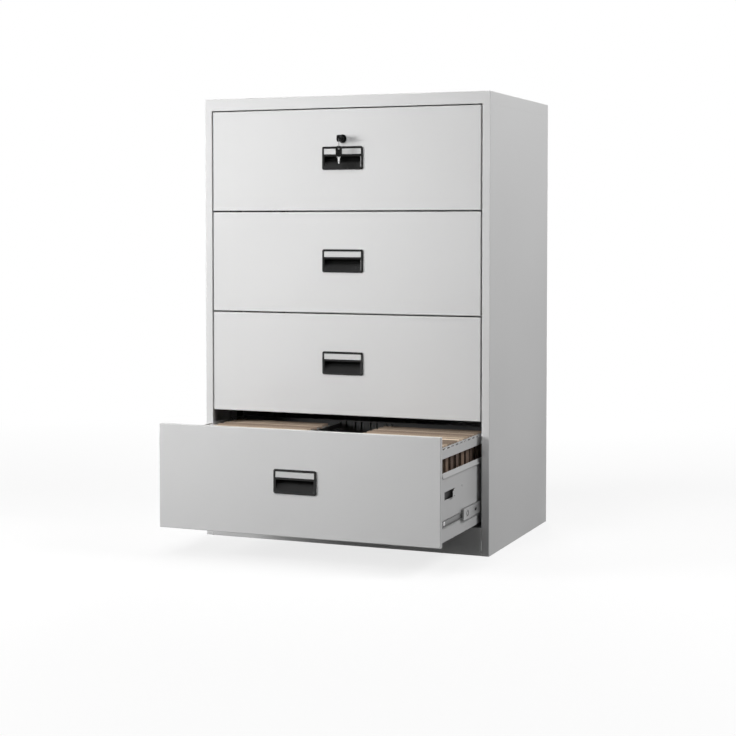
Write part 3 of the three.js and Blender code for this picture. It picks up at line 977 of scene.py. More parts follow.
@dataclass(frozen=True)
class FolderCard:
    """Pressed card of the hanging folders, or the edges of papers in them."""

    name: str
    light: Colour = tint(0.70, 0.63, 0.55)
    deep: Colour = tint(0.49, 0.42, 0.36)
    start: float = 0.0
    # Painted highlight along the top of each folder's near card: the height it starts at, the softness of
    # its lower edge and its colour
    rim: float = math.inf
    highlight_blend: float = 0.4 * MM
    highlight_colour: Colour = tint(0.94, 0.87, 0.78)
    leaf: float = 0.0
    leaf_amount: float = 0.55
    leaf_shade: float = 0.6
    folder_share: float = 0.8
    fibre_share: float = 0.2
    fibre_scale: float = 420.0
    fibre_stretch: tuple[float, float, float] = (0.25, 1.0, 1.0)
    fibre_roughness: float = 0.65
    roughness: tuple[float, float] = (0.72, 0.88)
    rubbed: Colour = tint(0.92, 0.87, 0.78)
    wear: EdgeWear = EdgeWear(1.0 * MM, 150.0, 0.35)
    relief: Relief = Relief(0.25, 0.4 * MM)

    def material(self, effects: Effects) -> Material:
        """Build the card with a tone per folder and, for papers, their leaves; on folders, a painted
        highlight along the top of each near card.

        Args:
            effects: The shared groups.

        Returns:
            The material.
        """
        surface = Surface(self.name)
        along = surface.math("SUBTRACT", surface.part_of(surface.place(), "Y"), self.start)
        each = surface.ramp(surface.steps(along, FOLDER_PITCH), *NOISE_SPAN)
        fibre = surface.noise(self.fibre_scale, 4.0, self.fibre_stretch, self.fibre_roughness)
        blend = surface.math("ADD", surface.times(each, self.folder_share),
                             surface.times(fibre, self.fibre_share))
        tone = surface.mix(blend, self.light, self.deep)
        if self.leaf:
            leaves = surface.times(surface.steps(along, self.leaf), self.leaf_amount)
            tone = surface.mix(leaves, tone, shaded(self.deep, self.leaf_shade))
        tone, _ = surface.worn(effects, self.wear, tone, self.rubbed)
        # Painted highlight: the top of each folder's near card is mixed towards a pale colour, less on
        # darker folders
        if math.isfinite(self.rim):
            tone = surface.mix(self.hem(surface, along, each), tone, self.highlight_colour)
        rough = surface.ramp(fibre, *NOISE_SPAN, *self.roughness)
        return surface.close(tone, rough, fibre, self.relief)

    def hem(self, surface: Surface, along: Socket, each: Socket) -> Socket:
        """Mask of the painted highlight along the top of each folder's near card.

        Args:
            surface: The material's nodes.
            along: The way along the row.
            each: The folder's own random value.

        Returns:
            The mask, fainter on the darker folders.
        """
        height = surface.part_of(surface.place(), "Z")
        top = surface.ramp(height, self.rim - self.highlight_blend, self.rim)
        turn = surface.math("FRACT", surface.math("DIVIDE", along, FOLDER_PITCH))
        near = surface.math("LESS_THAN", turn, 0.5)
        return surface.times(top, near, surface.ramp(each, 0.0, 1.0, 1.0, 0.0))


class Finishes:
    """Every material of the cabinet, made once."""

    # Depth below the folders' top where their painted highlight starts
    HIGHLIGHT_DEPTH = 1.5 * MM
    LEAF = 1.6 * MM

    def __init__(self) -> None:
        """Build the shared effects and then the materials."""
        effects = Effects()
        self.shell = PowderCoat("light_grey_powder_coat", grey(0.815), 0.42, 0.12).material(effects)
        self.tray = PowderCoat("drawer_powder_coat", grey(0.80), 0.46, 0.2).material(effects)
        # Dark grey powder coat on the trays and on the channels behind the tongues: painted shade for the
        # inside of the open drawer and of its lanced holes
        self.dark = PowderCoat("painted_shade_grey_powder_coat", grey(0.36), 0.5, 0.25).material(effects)
        self.zinc = PlatedSteel("zinc_plated_steel", grey(0.62), 0.42, 0.12).material(effects)
        self.rail = PlatedSteel("dull_zinc_steel", grey(0.48), 0.5, 0.1).material(effects)
        self.nickel = PlatedSteel("nickel_plated_steel", grey(0.8), 0.3, 0.03).material(effects)
        self.blackened = PlatedSteel("blackened_steel", grey(0.24), 0.35, 0.03).material(effects)
        self.plastic = MouldedPlastic("black_moulded_plastic").material(effects)
        self.jet = MouldedPlastic("jet_black_plastic", grey(0.05), 0.2, 0.2).material(effects)
        self.label = RuledCard("ruled_label_card").material()
        low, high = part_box("hanging_folders_left")
        # The folder card carries a painted highlight along the top of each near card
        self.folder = FolderCard("tan_folder_card", start=low.y,
                                 rim=high.z - self.HIGHLIGHT_DEPTH).material(effects)
        self.paper = FolderCard("filed_papers", tint(0.58, 0.49, 0.42), tint(0.36, 0.29, 0.25),
                                low.y, leaf=self.LEAF).material(effects)


# Carcass

@dataclass
class Carcass:
    """Folded side panels, top, plinth and back, with their fasteners."""

    finishes: Finishes
    gauge: float = 1.0 * MM
    fold_radius: float = 1.6 * MM
    fold_steps: int = 4
    shortest_upright: float = 500 * MM
    stile_return: float = 20 * MM
    top_lip: float = 20 * MM
    top_end_radius: float = 0.4 * MM
    seam: float = 0.02 * MM
    bracket_place: float = 205 * MM
    bracket_half: float = 13 * MM
    bracket_gauge: float = 3 * MM
    bracket_gap: float = 0.3 * MM
    bracket_edge: float = 0.6 * MM
    pin_radius: float = 2.9 * MM
    pin_length: float = 7 * MM
    pin_edge: float = 0.4 * MM
    pin_sides: int = 24
    rivet_radius: float = 3.2 * MM
    rivet_rise: float = 1.3 * MM
    rivet_crown: float = 0.35
    rivet_sides: int = 14
    rivet_inset: float = 14 * MM
    rivets_up: int = 7
    rivets_across: int = 5

    def build(self) -> None:
        """Model the folded panels and dress every carcass node."""
        self.side_panels()
        self.top()
        self.plinth()
        self.back_rivets()
        paint_nodes(self.finishes.shell, "base_pan", "back_panel")
        paint_nodes(self.finishes.zinc, *sides_of("runner_frame"))
        for end in ("front", "rear"):
            paint_nodes(self.finishes.plastic, *sides_of(f"levelling_foot_{end}"))

    def fold(self, shell: Piece, *folds: tuple[Test, float]) -> None:
        """Round the folds of an open shell and give it the sheet's thickness, inwards.

        Args:
            shell: The outer faces of a folded sheet.
            folds: What picks some of its folds, each with their radius.
        """
        for test, radius in folds:
            Bench.bevel(shell, test, radius, self.fold_steps)
        Bench.modify(shell, "SOLIDIFY", thickness=self.gauge, offset=-1.0, use_even_offset=True)
        Bench.smooth(shell)

    def side_panels(self) -> None:
        """Fold the right side, with its stile and stile return, and mirror it."""
        low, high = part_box("side_panel_right")
        panel = Bench.block("side_skin", low, high)
        with Bench.editing(panel, facing(-1, 0, 0)):
            bpy.ops.mesh.delete(type="FACE")
        inner_front = edges_at(lambda at: at.x < low.x + NEAR and at.y < low.y + NEAR)
        with Bench.editing(panel, inner_front, Pick.EDGE):
            Bench.extrude(0.0, self.stile_return, 0.0)
        outside = edges_at(lambda at: at.x > high.x - NEAR or at.y < low.y + NEAR)

        def upright_fold(edge: bmesh.types.BMEdge) -> bool:
            """True for the stile's folds and the rear corner."""
            rise = edge.verts[0].co.z - edge.verts[1].co.z
            return abs(rise) > self.shortest_upright and outside(edge)

        self.fold(panel, (upright_fold, self.fold_radius))
        dress_pair(panel, "side_skin", self.finishes.shell, Slot.LIGHT_PAINT, "cabinet", "side_panel")

    def top(self) -> None:
        """Fold the top as a pan turned over, with the lock lever's seat inside."""
        low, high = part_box("top_panel")
        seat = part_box("side_panel_left")[1].z + self.seam
        pan = Bench.block("top_pan", (low.x, low.y, seat), high)
        with Bench.editing(pan, facing(0, 0, -1)):
            bpy.ops.mesh.inset(thickness=self.top_lip)
            bpy.ops.mesh.delete(type="FACE")

        def upper_fold(edge: bmesh.types.BMEdge) -> bool:
            """True for the upper edges and the upright corners."""
            return max(vertex.co.z for vertex in edge.verts) > high.z - NEAR

        lower_ends = edges_at(lambda at: at.z < seat + NEAR and abs(at.x) > high.x - NEAR)
        self.fold(pan, (upper_fold, self.fold_radius), (lower_ends, self.top_end_radius))
        pan = Bench.gather([pan, *self.lever_seat(low.z, high.z - self.gauge)])
        dress(pan, self.finishes.shell, Slot.LIGHT_PAINT, "cabinet", "top_panel")

    def lever_seat(self, foot: float, head: float) -> list[Piece]:
        """Model the bracket and the pin that carry the lock lever.

        Args:
            foot: Height of the bracket's lower end.
            head: Height of its upper end.

        Returns:
            The bracket and the pin.
        """
        low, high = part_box("lock_lever")
        x, rear = self.bracket_place, low.y - self.bracket_gap
        bracket = Bench.block("bracket", (x - self.bracket_half, rear - self.bracket_gauge, foot),
                              (x + self.bracket_half, rear, head))
        pin = Bench.rod("pin", (x, low.y, (low.z + high.z) / 2), self.pin_radius, self.pin_length,
                        Axis.Y, self.pin_sides)
        return [Bench.soften(bracket, self.bracket_edge), Bench.soften(pin, self.pin_edge)]

    def plinth(self) -> None:
        """Fold the plinth as a channel open to the back."""
        low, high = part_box("plinth")
        skirt = Bench.block("plinth_channel", low, high)
        with Bench.editing(skirt, lambda face: face.normal.y > ALIGNED or abs(face.normal.x) > ALIGNED):
            bpy.ops.mesh.delete(type="FACE")
        self.fold(skirt, (edges_at(lambda at: at.y < low.y + NEAR), self.fold_radius))
        dress(skirt, self.finishes.shell, Slot.LIGHT_PAINT, "cabinet", "plinth")

    def back_rivets(self) -> None:
        """Set domed rivets round the edge of the back sheet."""
        low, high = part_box("back_panel")
        rivet = Bench.rod("back_rivet", (0, high.y + self.rivet_rise / 2, 0), self.rivet_radius,
                          self.rivet_rise, Axis.Y, self.rivet_sides)
        with Bench.editing(rivet, facing(0, 1, 0)):
            bpy.ops.mesh.inset(thickness=self.rivet_radius * self.rivet_crown)
            bpy.ops.transform.translate(value=(0, self.rivet_rise * self.rivet_crown, 0))
        Bench.smooth(rivet, Bench.DOMED)
        edge = high.x - self.rivet_inset
        bottom, top = low.z + self.rivet_inset, high.z - self.rivet_inset
        rise = (top - bottom) / (self.rivets_up - 1)
        across = 2 * edge / (self.rivets_across + 1)
        places = [(x, 0, bottom + i * rise) for x in (-edge, edge) for i in range(self.rivets_up)]
        for z in (bottom, top):
            places += [(-edge + (i + 1) * across, 0, z) for i in range(self.rivets_across)]
        rivets = Bench.gather(Bench.spread(rivet, places), "back_rivets")
        dress(rivets, self.finishes.zinc, Slot.ZINC, "cabinet")


# Drawers

@dataclass
class HandlePattern:
    """The moulded pull: rounded bezel, label recess, cross bar and undercut finger cup."""

    corner: float = 5.5 * MM
    corner_steps: int = 8
    edge: float = 0.9 * MM
    edge_steps: int = 4
    inner_edge: float = 0.5 * MM
    border: float = 6 * MM
    top_border: float = 6.6 * MM
    label_height: float = 16.4 * MM
    label_recess: float = 1.5 * MM
    label_corner: float = 1.2 * MM
    label_steps: int = 3
    cut_margin: float = 2 * MM
    bar: float = 6 * MM
    bezel_depth: float = 3.3 * MM
    cup_height: float = 32 * MM
    cup_depth: float = 15 * MM
    cup_border: float = 7.4 * MM
    cup_corner: float = 2.0 * MM
    cup_corner_steps: int = 4
    cup_back_inset: float = 0.4 * MM
    cup_slope: float = 30 * MM
    cup_round: float = 4.5 * MM
    cup_round_steps: int = 6
    undercut: float = 8 * MM
    lip_width: float = 2.8 * MM
    lip_depth: float = 0.93 * MM
    wall: float = 2 * MM
    body_overlap: float = 1.2 * MM
    body_rise: float = 3.5 * MM
    low: Vector = field(default_factory=lambda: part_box(f"drawer_{PATTERN_DRAWER}_handle")[0])
    high: Vector = field(default_factory=lambda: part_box(f"drawer_{PATTERN_DRAWER}_handle")[1])
    master: Piece | None = None

    @property
    def body_half(self) -> float:
        """Half the width of the cup's body behind the bezel."""
        return self.high.x - self.border + self.wall

    def build(self) -> None:
        """Model one pull at the pattern's drawer, to be copied."""
        low, high = self.low, self.high
        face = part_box(f"drawer_{PATTERN_DRAWER}_front")[0].y - TRIM_GAP
        bezel = Bench.block("pull", low, (high.x, face, high.z))
        Bench.round_corners(bezel, 1, self.corner, self.corner_steps)
        Bench.soften(bezel, self.edge, self.edge_steps)
        cup_top = high.z - self.top_border - self.label_height - self.bar
        half = self.body_half
        back = Bench.block("cup_body", (-half, face - self.body_overlap, low.z + self.body_rise),
                           (half, high.y, cup_top + self.undercut + self.wall))
        Bench.weld(bezel, back)
        Bench.subtract(bezel, self.cup(cup_top), self.label())
        self.master = Bench.soften(bezel, self.inner_edge)

    def cup(self, top: float) -> Piece:
        """Model the hollow of the finger cup.

        Args:
            top: Height of its upper edge.

        Returns:
            A solid that is cut out of the handle.
        """
        half = self.high.x - self.cup_border
        floor = top - self.cup_height
        middle = (floor + top) / 2
        lip = self.low.y + self.lip_depth
        rear = self.low.y + self.bezel_depth + self.cup_depth
        hollow = Bench.block("cup", (-half, lip, floor), (half, rear, top))
        Bench.round_corners(hollow, 1, self.cup_corner, self.cup_corner_steps)
        with Bench.editing(hollow, facing(0, 1, 0)):
            bpy.ops.mesh.inset(thickness=self.cup_back_inset)
        for vertex in hollow.data.vertices:
            if vertex.co.y > rear - NEAR:
                vertex.co.z += self.cup_slope if vertex.co.z < middle else self.undercut
        at_back = edges_at(lambda at: at.y > rear - NEAR)

        def deep_edge(edge: bmesh.types.BMEdge) -> bool:
            """True for the long edges at the cup's back."""
            return abs(edge.verts[1].co.x - edge.verts[0].co.x) > half and at_back(edge)

        Bench.bevel(hollow, deep_edge, self.cup_round, self.cup_round_steps)
        widen = (half + 2 * self.lip_width) / half
        deepen = (self.cup_height / 2 + 2 * self.lip_depth) / (self.cup_height / 2)
        with Bench.editing(hollow, facing(0, -1, 0)):
            Bench.extrude(0, -2 * self.lip_depth, 0)
            bpy.ops.transform.resize(value=(widen, 1.0, deepen), center_override=(0, lip, middle))
        return hollow

    def label(self) -> Piece:
        """Model the recess that the label card lies in.

        Returns:
            A solid that is cut out of the handle.
        """
        half = self.high.x - self.border
        top = self.high.z - self.top_border
        recess = Bench.block("label", (-half, self.low.y - self.cut_margin, top - self.label_height),
                             (half, self.low.y + self.label_recess, top))
        Bench.round_corners(recess, 1, self.label_corner, self.label_steps)
        return recess

    def clear(self) -> None:
        """Remove the master once every drawer has its copy."""
        bpy.data.objects.remove(self.master)


@dataclass
class SidePattern:
    """The drawer's right side: windowed skin, rolled hem, rail slots, tongue and runner member."""

    gauge: float = 1.0 * MM
    cut_margin: float = 3 * MM
    flange: float = 20 * MM
    fold_gap: float = 1.3 * MM
    window_end: float = 22 * MM
    sill: float = 187 * MM
    window: float = 38 * MM
    window_corner: float = 2.5 * MM
    corner_steps: int = 4
    hem: float = 14 * MM
    hem_rise: float = 4.2 * MM
    hem_lean: float = 3.4 * MM
    hem_edge: float = 0.7 * MM
    hem_steps: int = 4
    ledge: float = 11 * MM
    ledge_drop: float = 10 * MM
    slots: int = 13
    slot_pitch: float = 36 * MM
    slot_length: float = 24 * MM
    slot_height: float = 4 * MM
    slot_corner: float = 1.8 * MM
    slot_drop: float = 3 * MM
    lance_start: float = 43 * MM
    lance_length: float = 88 * MM
    lance_corner: float = 1.5 * MM
    lance_steps: int = 3
    tongue_length: float = 42 * MM
    tongue_sill: float = 114 * MM
    tongue_height: float = 18 * MM
    tongue_slit: float = 2 * MM
    tongue_flare: float = 9 * MM
    pocket_depth: float = 9.5 * MM
    pocket_margin: float = 8 * MM
    rivet_setback: float = 192 * MM
    rivet_radius: float = 4 * MM
    rivet_rise: float = 1.6 * MM
    rivet_sink: float = 0.2 * MM
    rivet_round: float = 0.9 * MM
    rivet_steps: int = 3
    rivet_sides: int = 20
    member_up: float = 51 * MM
    member_half: float = 8.3 * MM
    member_depth: float = 5.3 * MM
    member_gauge: float = 1.2 * MM
    member_fold: float = 0.8 * MM
    member_fold_steps: int = 3
    member_fold_angle: float = math.radians(40)
    member_setback: float = 9.7 * MM
    member_length: float = 500 * MM
    low: Vector = field(default_factory=lambda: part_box(f"drawer_{PATTERN_DRAWER}_side_right")[0])
    high: Vector = field(default_factory=lambda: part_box(f"drawer_{PATTERN_DRAWER}_side_right")[1])
    skin: Piece | None = None
    member: Piece | None = None
    pocket: Piece | None = None

    @property
    def face(self) -> float:
        """The skin's outer face."""
        return self.low.x + self.flange

    @property
    def sill_height(self) -> float:
        """Lower edge of the window."""
        return self.low.z + self.sill

    @property
    def tongue_foot(self) -> float:
        """Lower edge of the tongue."""
        return self.low.z + self.tongue_sill

    @property
    def lance_front(self) -> float:
        """Front end of the lanced hole."""
        return self.low.y + self.lance_start

    @property
    def lance_rear(self) -> float:
        """Rear end of the lanced hole."""
        return self.lance_front + self.lance_length

    def build(self) -> None:
        """Model one side and its runner member at the pattern's drawer, to be copied."""
        low, high = self.low, self.high
        skin = Bench.block("side_master", (self.face - self.gauge, low.y, low.z),
                           (self.face, high.y, high.z))
        Bench.subtract(skin, Bench.gather(self.cutouts()))
        Bench.soften(skin)
        self.skin = Bench.gather([skin, *self.folds(), self.tongue(), self.rivet()])
        self.member = self.runner_member()
        self.pocket = self.lance_pocket()

    def cutouts(self) -> list[Piece]:
        """Model the window, the rail slots and the lanced hole.

        Returns:
            Solids that are cut out of the skin.
        """
        low, high = self.low, self.high
        near, far = self.face - self.cut_margin, self.face + self.cut_margin
        window = Bench.block("window", (near, low.y + self.window_end, self.sill_height),
                             (far, high.y - self.window_end, self.sill_height + self.window))
        Bench.round_corners(window, 0, self.window_corner, self.corner_steps)
        row = (self.slots - 1) * self.slot_pitch + self.slot_length
        first = (low.y + high.y - row) / 2
        top = high.z - self.slot_drop
        slot = Bench.block("slot", (near, first, top - self.slot_height),
                           (far, first + self.slot_length, top))
        Bench.round_corners(slot, 0, self.slot_corner, self.corner_steps)
        slots = Bench.spread(slot, [(0, i * self.slot_pitch, 0) for i in range(self.slots)])
        tongue_head = self.tongue_foot + self.tongue_height
        lance = Bench.block("lance", (near, self.lance_front, self.tongue_foot - self.tongue_slit),
                            (far, self.lance_rear, tongue_head + self.tongue_slit))
        Bench.round_corners(lance, 0, self.lance_corner, self.lance_steps)
        return [window, *slots, lance]

    def folds(self) -> list[Piece]:
        """Model what is folded from the skin's edges.

        Returns:
            The rolled hem under the window, the ledge for folder hooks and the front flange.
        """
        low, high, face = self.low, self.high, self.face
        inside = face - self.gauge / 2
        hem = Bench.block("hem", (inside, low.y + self.window_end, self.sill_height - self.hem),
                          (face + self.hem_rise, high.y - self.window_end, self.sill_height))
        upper_outer = edges_at(lambda at: at.x > face and at.z > self.sill_height - NEAR)
        with Bench.editing(hem, upper_outer, Pick.EDGE):
            bpy.ops.transform.translate(value=(-self.hem_lean, 0, 0))
        Bench.soften(hem, self.hem_edge, self.hem_steps)
        rail = high.z - self.ledge_drop
        ledge = Bench.block("ledge", (face - self.ledge, low.y + self.flange, rail - self.gauge),
                            (inside, high.y - self.fold_gap, rail))
        flange = Bench.block("flange", (face - self.flange, low.y, low.z + self.fold_gap),
                             (inside, low.y + self.gauge, high.z))
        return [hem, Bench.soften(ledge), Bench.soften(flange)]

    def tongue(self) -> Piece:
        """Model the lanced tongue, cranked outwards for the lock's hook.

        Returns:
            The tongue.
        """
        flare = self.tongue_flare - self.gauge / 2
        x, y = self.face - self.gauge / 2, self.lance_rear + self.tongue_slit
        path = [(0.0, -self.tongue_slit - flare, 0.0), (flare, 2 * flare - self.tongue_length, 0.0),
                (0.0, -flare, 0.0)]
        sheet = Bench.strip("tongue", (x, y, self.tongue_foot),
                            (x, y, self.tongue_foot + self.tongue_height), path)
        Bench.thicken(sheet, self.gauge)
        return Bench.soften(sheet)

    def lance_pocket(self) -> Piece:
        """Model the channel that closes the lanced hole from inside; it is painted dark grey as painted
        shade in the hole.

        Returns:
            The channel.
        """
        height = self.tongue_height + 2 * self.pocket_margin
        x, top = self.face - self.gauge, self.tongue_foot - self.pocket_margin + height
        path = [(-self.pocket_depth, 0, 0), (0, 0, -height), (self.pocket_depth, 0, 0)]
        sheet = Bench.strip("pocket_master", (x, self.lance_front - self.pocket_margin, top),
                            (x, self.lance_rear + self.pocket_margin, top), path)
        Bench.thicken(sheet, self.gauge)
        return Bench.soften(sheet)

    def rivet(self) -> Piece:
        """Model the domed rivet beside the tongue.

        Returns:
            The rivet.
        """
        place = (self.face + self.rivet_rise / 2 - self.rivet_sink, self.low.y + self.rivet_setback,
                 self.tongue_foot + self.tongue_height)
        dome = Bench.rod("rivet", place, self.rivet_radius, self.rivet_rise, Axis.X, self.rivet_sides)
        Bench.bevel(dome, facing(1, 0, 0), self.rivet_round, self.rivet_steps, Pick.FACE)
        return Bench.smooth(dome, Bench.DOMED)

    def runner_member(self) -> Piece:
        """Model the runner's drawer member, a channel open outwards.

        Returns:
            The channel.
        """
        half = self.member_half - self.member_gauge / 2
        top = self.low.z + self.member_up + half
        lip, web = self.face + self.member_depth, self.face + self.member_gauge / 2
        front = self.low.y + self.member_setback
        path = [(web - lip, 0, 0), (0, 0, -2 * half), (lip - web, 0, 0)]
        sheet = Bench.strip("member_master", (lip, front, top), (lip, front + self.member_length, top),
                            path)
        Bench.modify(sheet, "BEVEL", width=self.member_fold, segments=self.member_fold_steps,
                     limit_method="ANGLE", angle_limit=self.member_fold_angle)
        Bench.thicken(sheet, self.member_gauge)
        return Bench.smooth(sheet)

    def clear(self) -> None:
        """Remove the masters once every drawer has its copies."""
        for master in (self.skin, self.member, self.pocket):
            bpy.data.objects.remove(master)


@dataclass
class Drawer:
    """One drawer's front, handle and sides; the rest keeps its CAD form."""

    number: int
    finishes: Finishes
    pull: HandlePattern
    side: SidePattern
    gauge: float = 1.0 * MM
    edge: float = 1.8 * MM
    edge_steps: int = 4
    front_return: float = 12 * MM
    cup_clearance: float = 0.8 * MM
    hole_foot: float = 3 * MM
    hole_head: float = 4 * MM
    bore_radius: float = 9.3 * MM
    bore_length: float = 8 * MM
    bore_sides: int = 40

    @property
    def body(self) -> str:
        """The CAD body of this drawer."""
        return f"drawer_{self.number}"

    def build(self) -> None:
        """Model the front, set the handle and sides, and paint the CAD nodes that stay."""
        self.front()
        self.handle()
        self.skins()
        # The tray is painted dark grey: painted shade for the inside of the drawer
        paint_nodes(self.finishes.dark, f"{self.body}_tray")
        paint_nodes(self.finishes.label, f"{self.body}_label_card")
        paint_nodes(self.finishes.zinc, f"{self.body}_file_frame",
                    *sides_of(f"mid_runner_{self.number}"))

    def front(self) -> None:
        """Fold the front as a pan with soft edges, cut for the handle and the lock."""
        low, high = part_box(f"{self.body}_front")
        pan = Bench.block(f"{self.body}_front_pan", low, high)
        with Bench.editing(pan, facing(0, 1, 0)):
            bpy.ops.mesh.inset(thickness=self.front_return)
            Bench.extrude(0, self.gauge - (high.y - low.y), 0)
        Bench.soften(pan, self.edge, self.edge_steps)
        handle_low, handle_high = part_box(f"{self.body}_handle")
        reach = self.pull.body_half + self.cup_clearance
        hole = Bench.block("hole", (-reach, low.y - self.gauge, handle_low.z + self.hole_foot),
                           (reach, high.y + self.gauge, handle_high.z - self.hole_head))
        Bench.subtract(pan, hole)
        if self.number == LOCKED_DRAWER:
            lock_low, lock_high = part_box("lock_barrel")
            centre = (0, low.y, (lock_low.z + lock_high.z) / 2)
            Bench.subtract(pan, Bench.rod("bore", centre, self.bore_radius, self.bore_length, Axis.Y,
                                          self.bore_sides))
        Bench.smooth(pan)
        dress(pan, self.finishes.shell, Slot.LIGHT_PAINT, self.body, f"{self.body}_front")

    def handle(self) -> None:
        """Set a copy of the handle where this drawer's CAD handle is."""
        low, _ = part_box(f"{self.body}_handle")
        grip = Bench.copy(self.pull.master, f"{self.body}_pull", low - self.pull.low)
        dress(grip, self.finishes.plastic, Slot.PLASTIC, self.body, f"{self.body}_handle")

    def skins(self) -> None:
        """Set copies of the side, of its runner member and of the lining behind its tongue."""
        low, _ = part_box(f"{self.body}_side_right")
        move = low - self.side.low
        skin = Bench.copy(self.side.skin, f"{self.body}_skin", move)
        dress_pair(skin, f"{self.body}_skin", self.finishes.tray, Slot.DRAWER_PAINT, self.body,
                   f"{self.body}_side")
        member = Bench.copy(self.side.member, f"{self.body}_member", move)
        dress_pair(member, f"{self.body}_member", self.finishes.rail, Slot.ZINC, self.body)
        pocket = Bench.copy(self.side.pocket, f"{self.body}_lance_pockets", move)
        pocket = Bench.gather([pocket, Bench.mirror(pocket, "pocket_twin")])
        # The channels behind the tongues are painted dark grey: painted shade in the lanced holes
        dress(pocket, self.finishes.dark, Slot.DARK_PAINT, self.body)


@dataclass
class RunnerPattern:
    """Screws on the drawer members; end plates, caps and black discs of painted shade in the holes of the
    middle members.
    """

    finishes: Finishes
    side: SidePattern
    screw_radius: float = 6.4 * MM
    screw_rise: float = 1.0 * MM
    screw_round: float = 0.6 * MM
    screw_steps: int = 3
    screw_sides: int = 28
    screw_places: tuple[float, ...] = (26 * MM, 190 * MM, 430 * MM)
    recess_half: float = 2.4 * MM
    recess_width: float = 0.55 * MM
    recess_depth: float = 0.6 * MM
    recess_margin: float = 1 * MM
    cap_front: float = 1.2 * MM
    cap_rear: float = 2.0 * MM
    cap_gap: float = 0.6 * MM
    cap_inset: float = 0.3 * MM
    cap_edge: float = 0.2 * MM
    plate_length: float = 9 * MM
    plate_inset: float = 1 * MM
    plate_corner: float = 3 * MM
    plate_edge: float = 0.25 * MM
    corner_steps: int = 4
    skin: float = 0.6 * MM
    ring_place: float = 34 * MM
    ring_radius: float = 10 * MM
    ring_width: float = 1.2 * MM
    ring_edge: float = 0.2 * MM
    ring_sides: int = 32
    # Black discs that paint the shade inside the middle member's pressed holes: thickness, gap to the
    # ring, eye, edge and sides
    hole_shade: float = 0.3 * MM
    hole_shade_gap: float = 1.6 * MM
    hole_shade_eye: float = 5 * MM
    hole_shade_edge: float = 0.1 * MM
    hole_shade_sides: int = 28
    # Place and size of the painted shade in the middle member's pressed slot
    slot_place: float = 96 * MM
    slot_length: float = 18 * MM
    slot_half: float = 4 * MM
    slot_corner: float = 3.9 * MM
    slot_steps: int = 6
    low: Vector = field(default_factory=lambda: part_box(f"mid_runner_{PATTERN_DRAWER}_right")[0])
    high: Vector = field(default_factory=lambda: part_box(f"mid_runner_{PATTERN_DRAWER}_right")[1])
    masters: dict[str, Piece] = field(default_factory=dict)

    @property
    def middle(self) -> float:
        """Height of the middle member's centre line."""
        return (self.low.z + self.high.z) / 2

    def build(self) -> None:
        """Model the right-hand fittings at the pattern's drawer, to be copied."""
        self.masters = {"runner_screws": self.screws(), "runner_stop": self.end_plate(),
                        "runner_hole_shades": self.hole_shades()}

    def fit(self, number: int) -> None:
        """Set copies of the fittings on one drawer's runners, right and left.

        Args:
            number: The drawer.
        """
        drawer, runners = f"drawer_{number}", f"mid_runners_{number}"
        with_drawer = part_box(f"{drawer}_side_right")[0] - self.side.low
        with_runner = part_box(f"mid_runner_{number}_right")[0] - self.low
        # The hole shades are black discs: painted shade inside the middle member's pressed holes
        for stem, move, finish, slot, body in (
                ("runner_screws", with_drawer, self.finishes.nickel, Slot.ZINC, drawer),
                ("runner_stop", with_runner, self.finishes.zinc, Slot.ZINC, runners),
                ("runner_hole_shades", with_runner, self.finishes.plastic, Slot.PLASTIC, runners)):
            fitting = Bench.copy(self.masters[stem], f"{stem}_{number}", move)
            dress_pair(fitting, f"{stem}_{number}", finish, slot, body)

    def screws(self) -> Piece:
        """Model pan-head screws with a cross recess in the drawer member's channel.

        Returns:
            The screws of one member.
        """
        low = self.side.low
        floor = self.side.face + self.side.member_gauge
        top = floor + self.screw_rise
        y, z = low.y + self.side.member_setback, low.z + self.side.member_up
        head = Bench.rod("screw", (floor + self.screw_rise / 2, y, z), self.screw_radius,
                         self.screw_rise, Axis.X, self.screw_sides)
        Bench.bevel(head, facing(1, 0, 0), self.screw_round, self.screw_steps, Pick.FACE)
        long, thin = self.recess_half, self.recess_width
        for across, up in ((long, thin), (thin, long)):
            recess = Bench.block("recess", (top - self.recess_depth, y - across, z - up),
                                 (top + self.recess_margin, y + across, z + up))
            Bench.subtract(head, recess)
        Bench.smooth(head)
        return Bench.gather(Bench.spread(head, [(0, place, 0) for place in self.screw_places]))

    def end_cap(self) -> Piece:
        """Model the cap that closes the middle member's front end round the drawer member.

        Returns:
            The cap.
        """
        low, high, side = self.low, self.high, self.side
        inset = self.cap_inset
        cap = Bench.block("cap", (low.x + inset, low.y - self.cap_front, low.z + inset),
                          (high.x, low.y + self.cap_rear, high.z - inset))
        half = side.member_half + self.cap_gap
        inner = side.member_half - side.member_gauge - self.cap_gap
        reach = side.face + side.member_depth + self.cap_gap
        floor = side.face + side.member_gauge + self.screw_rise + self.cap_gap
        near, far = low.y - 2 * self.cap_rear, low.y + 2 * self.cap_rear
        for depth, down, up in ((floor, -half, half), (reach, inner, half), (reach, -half, -inner)):
            notch = Bench.block("notch", (low.x - inset, near, self.middle + down),
                                (depth, far, self.middle + up))
            Bench.subtract(cap, notch)
        return Bench.soften(cap, self.cap_edge)

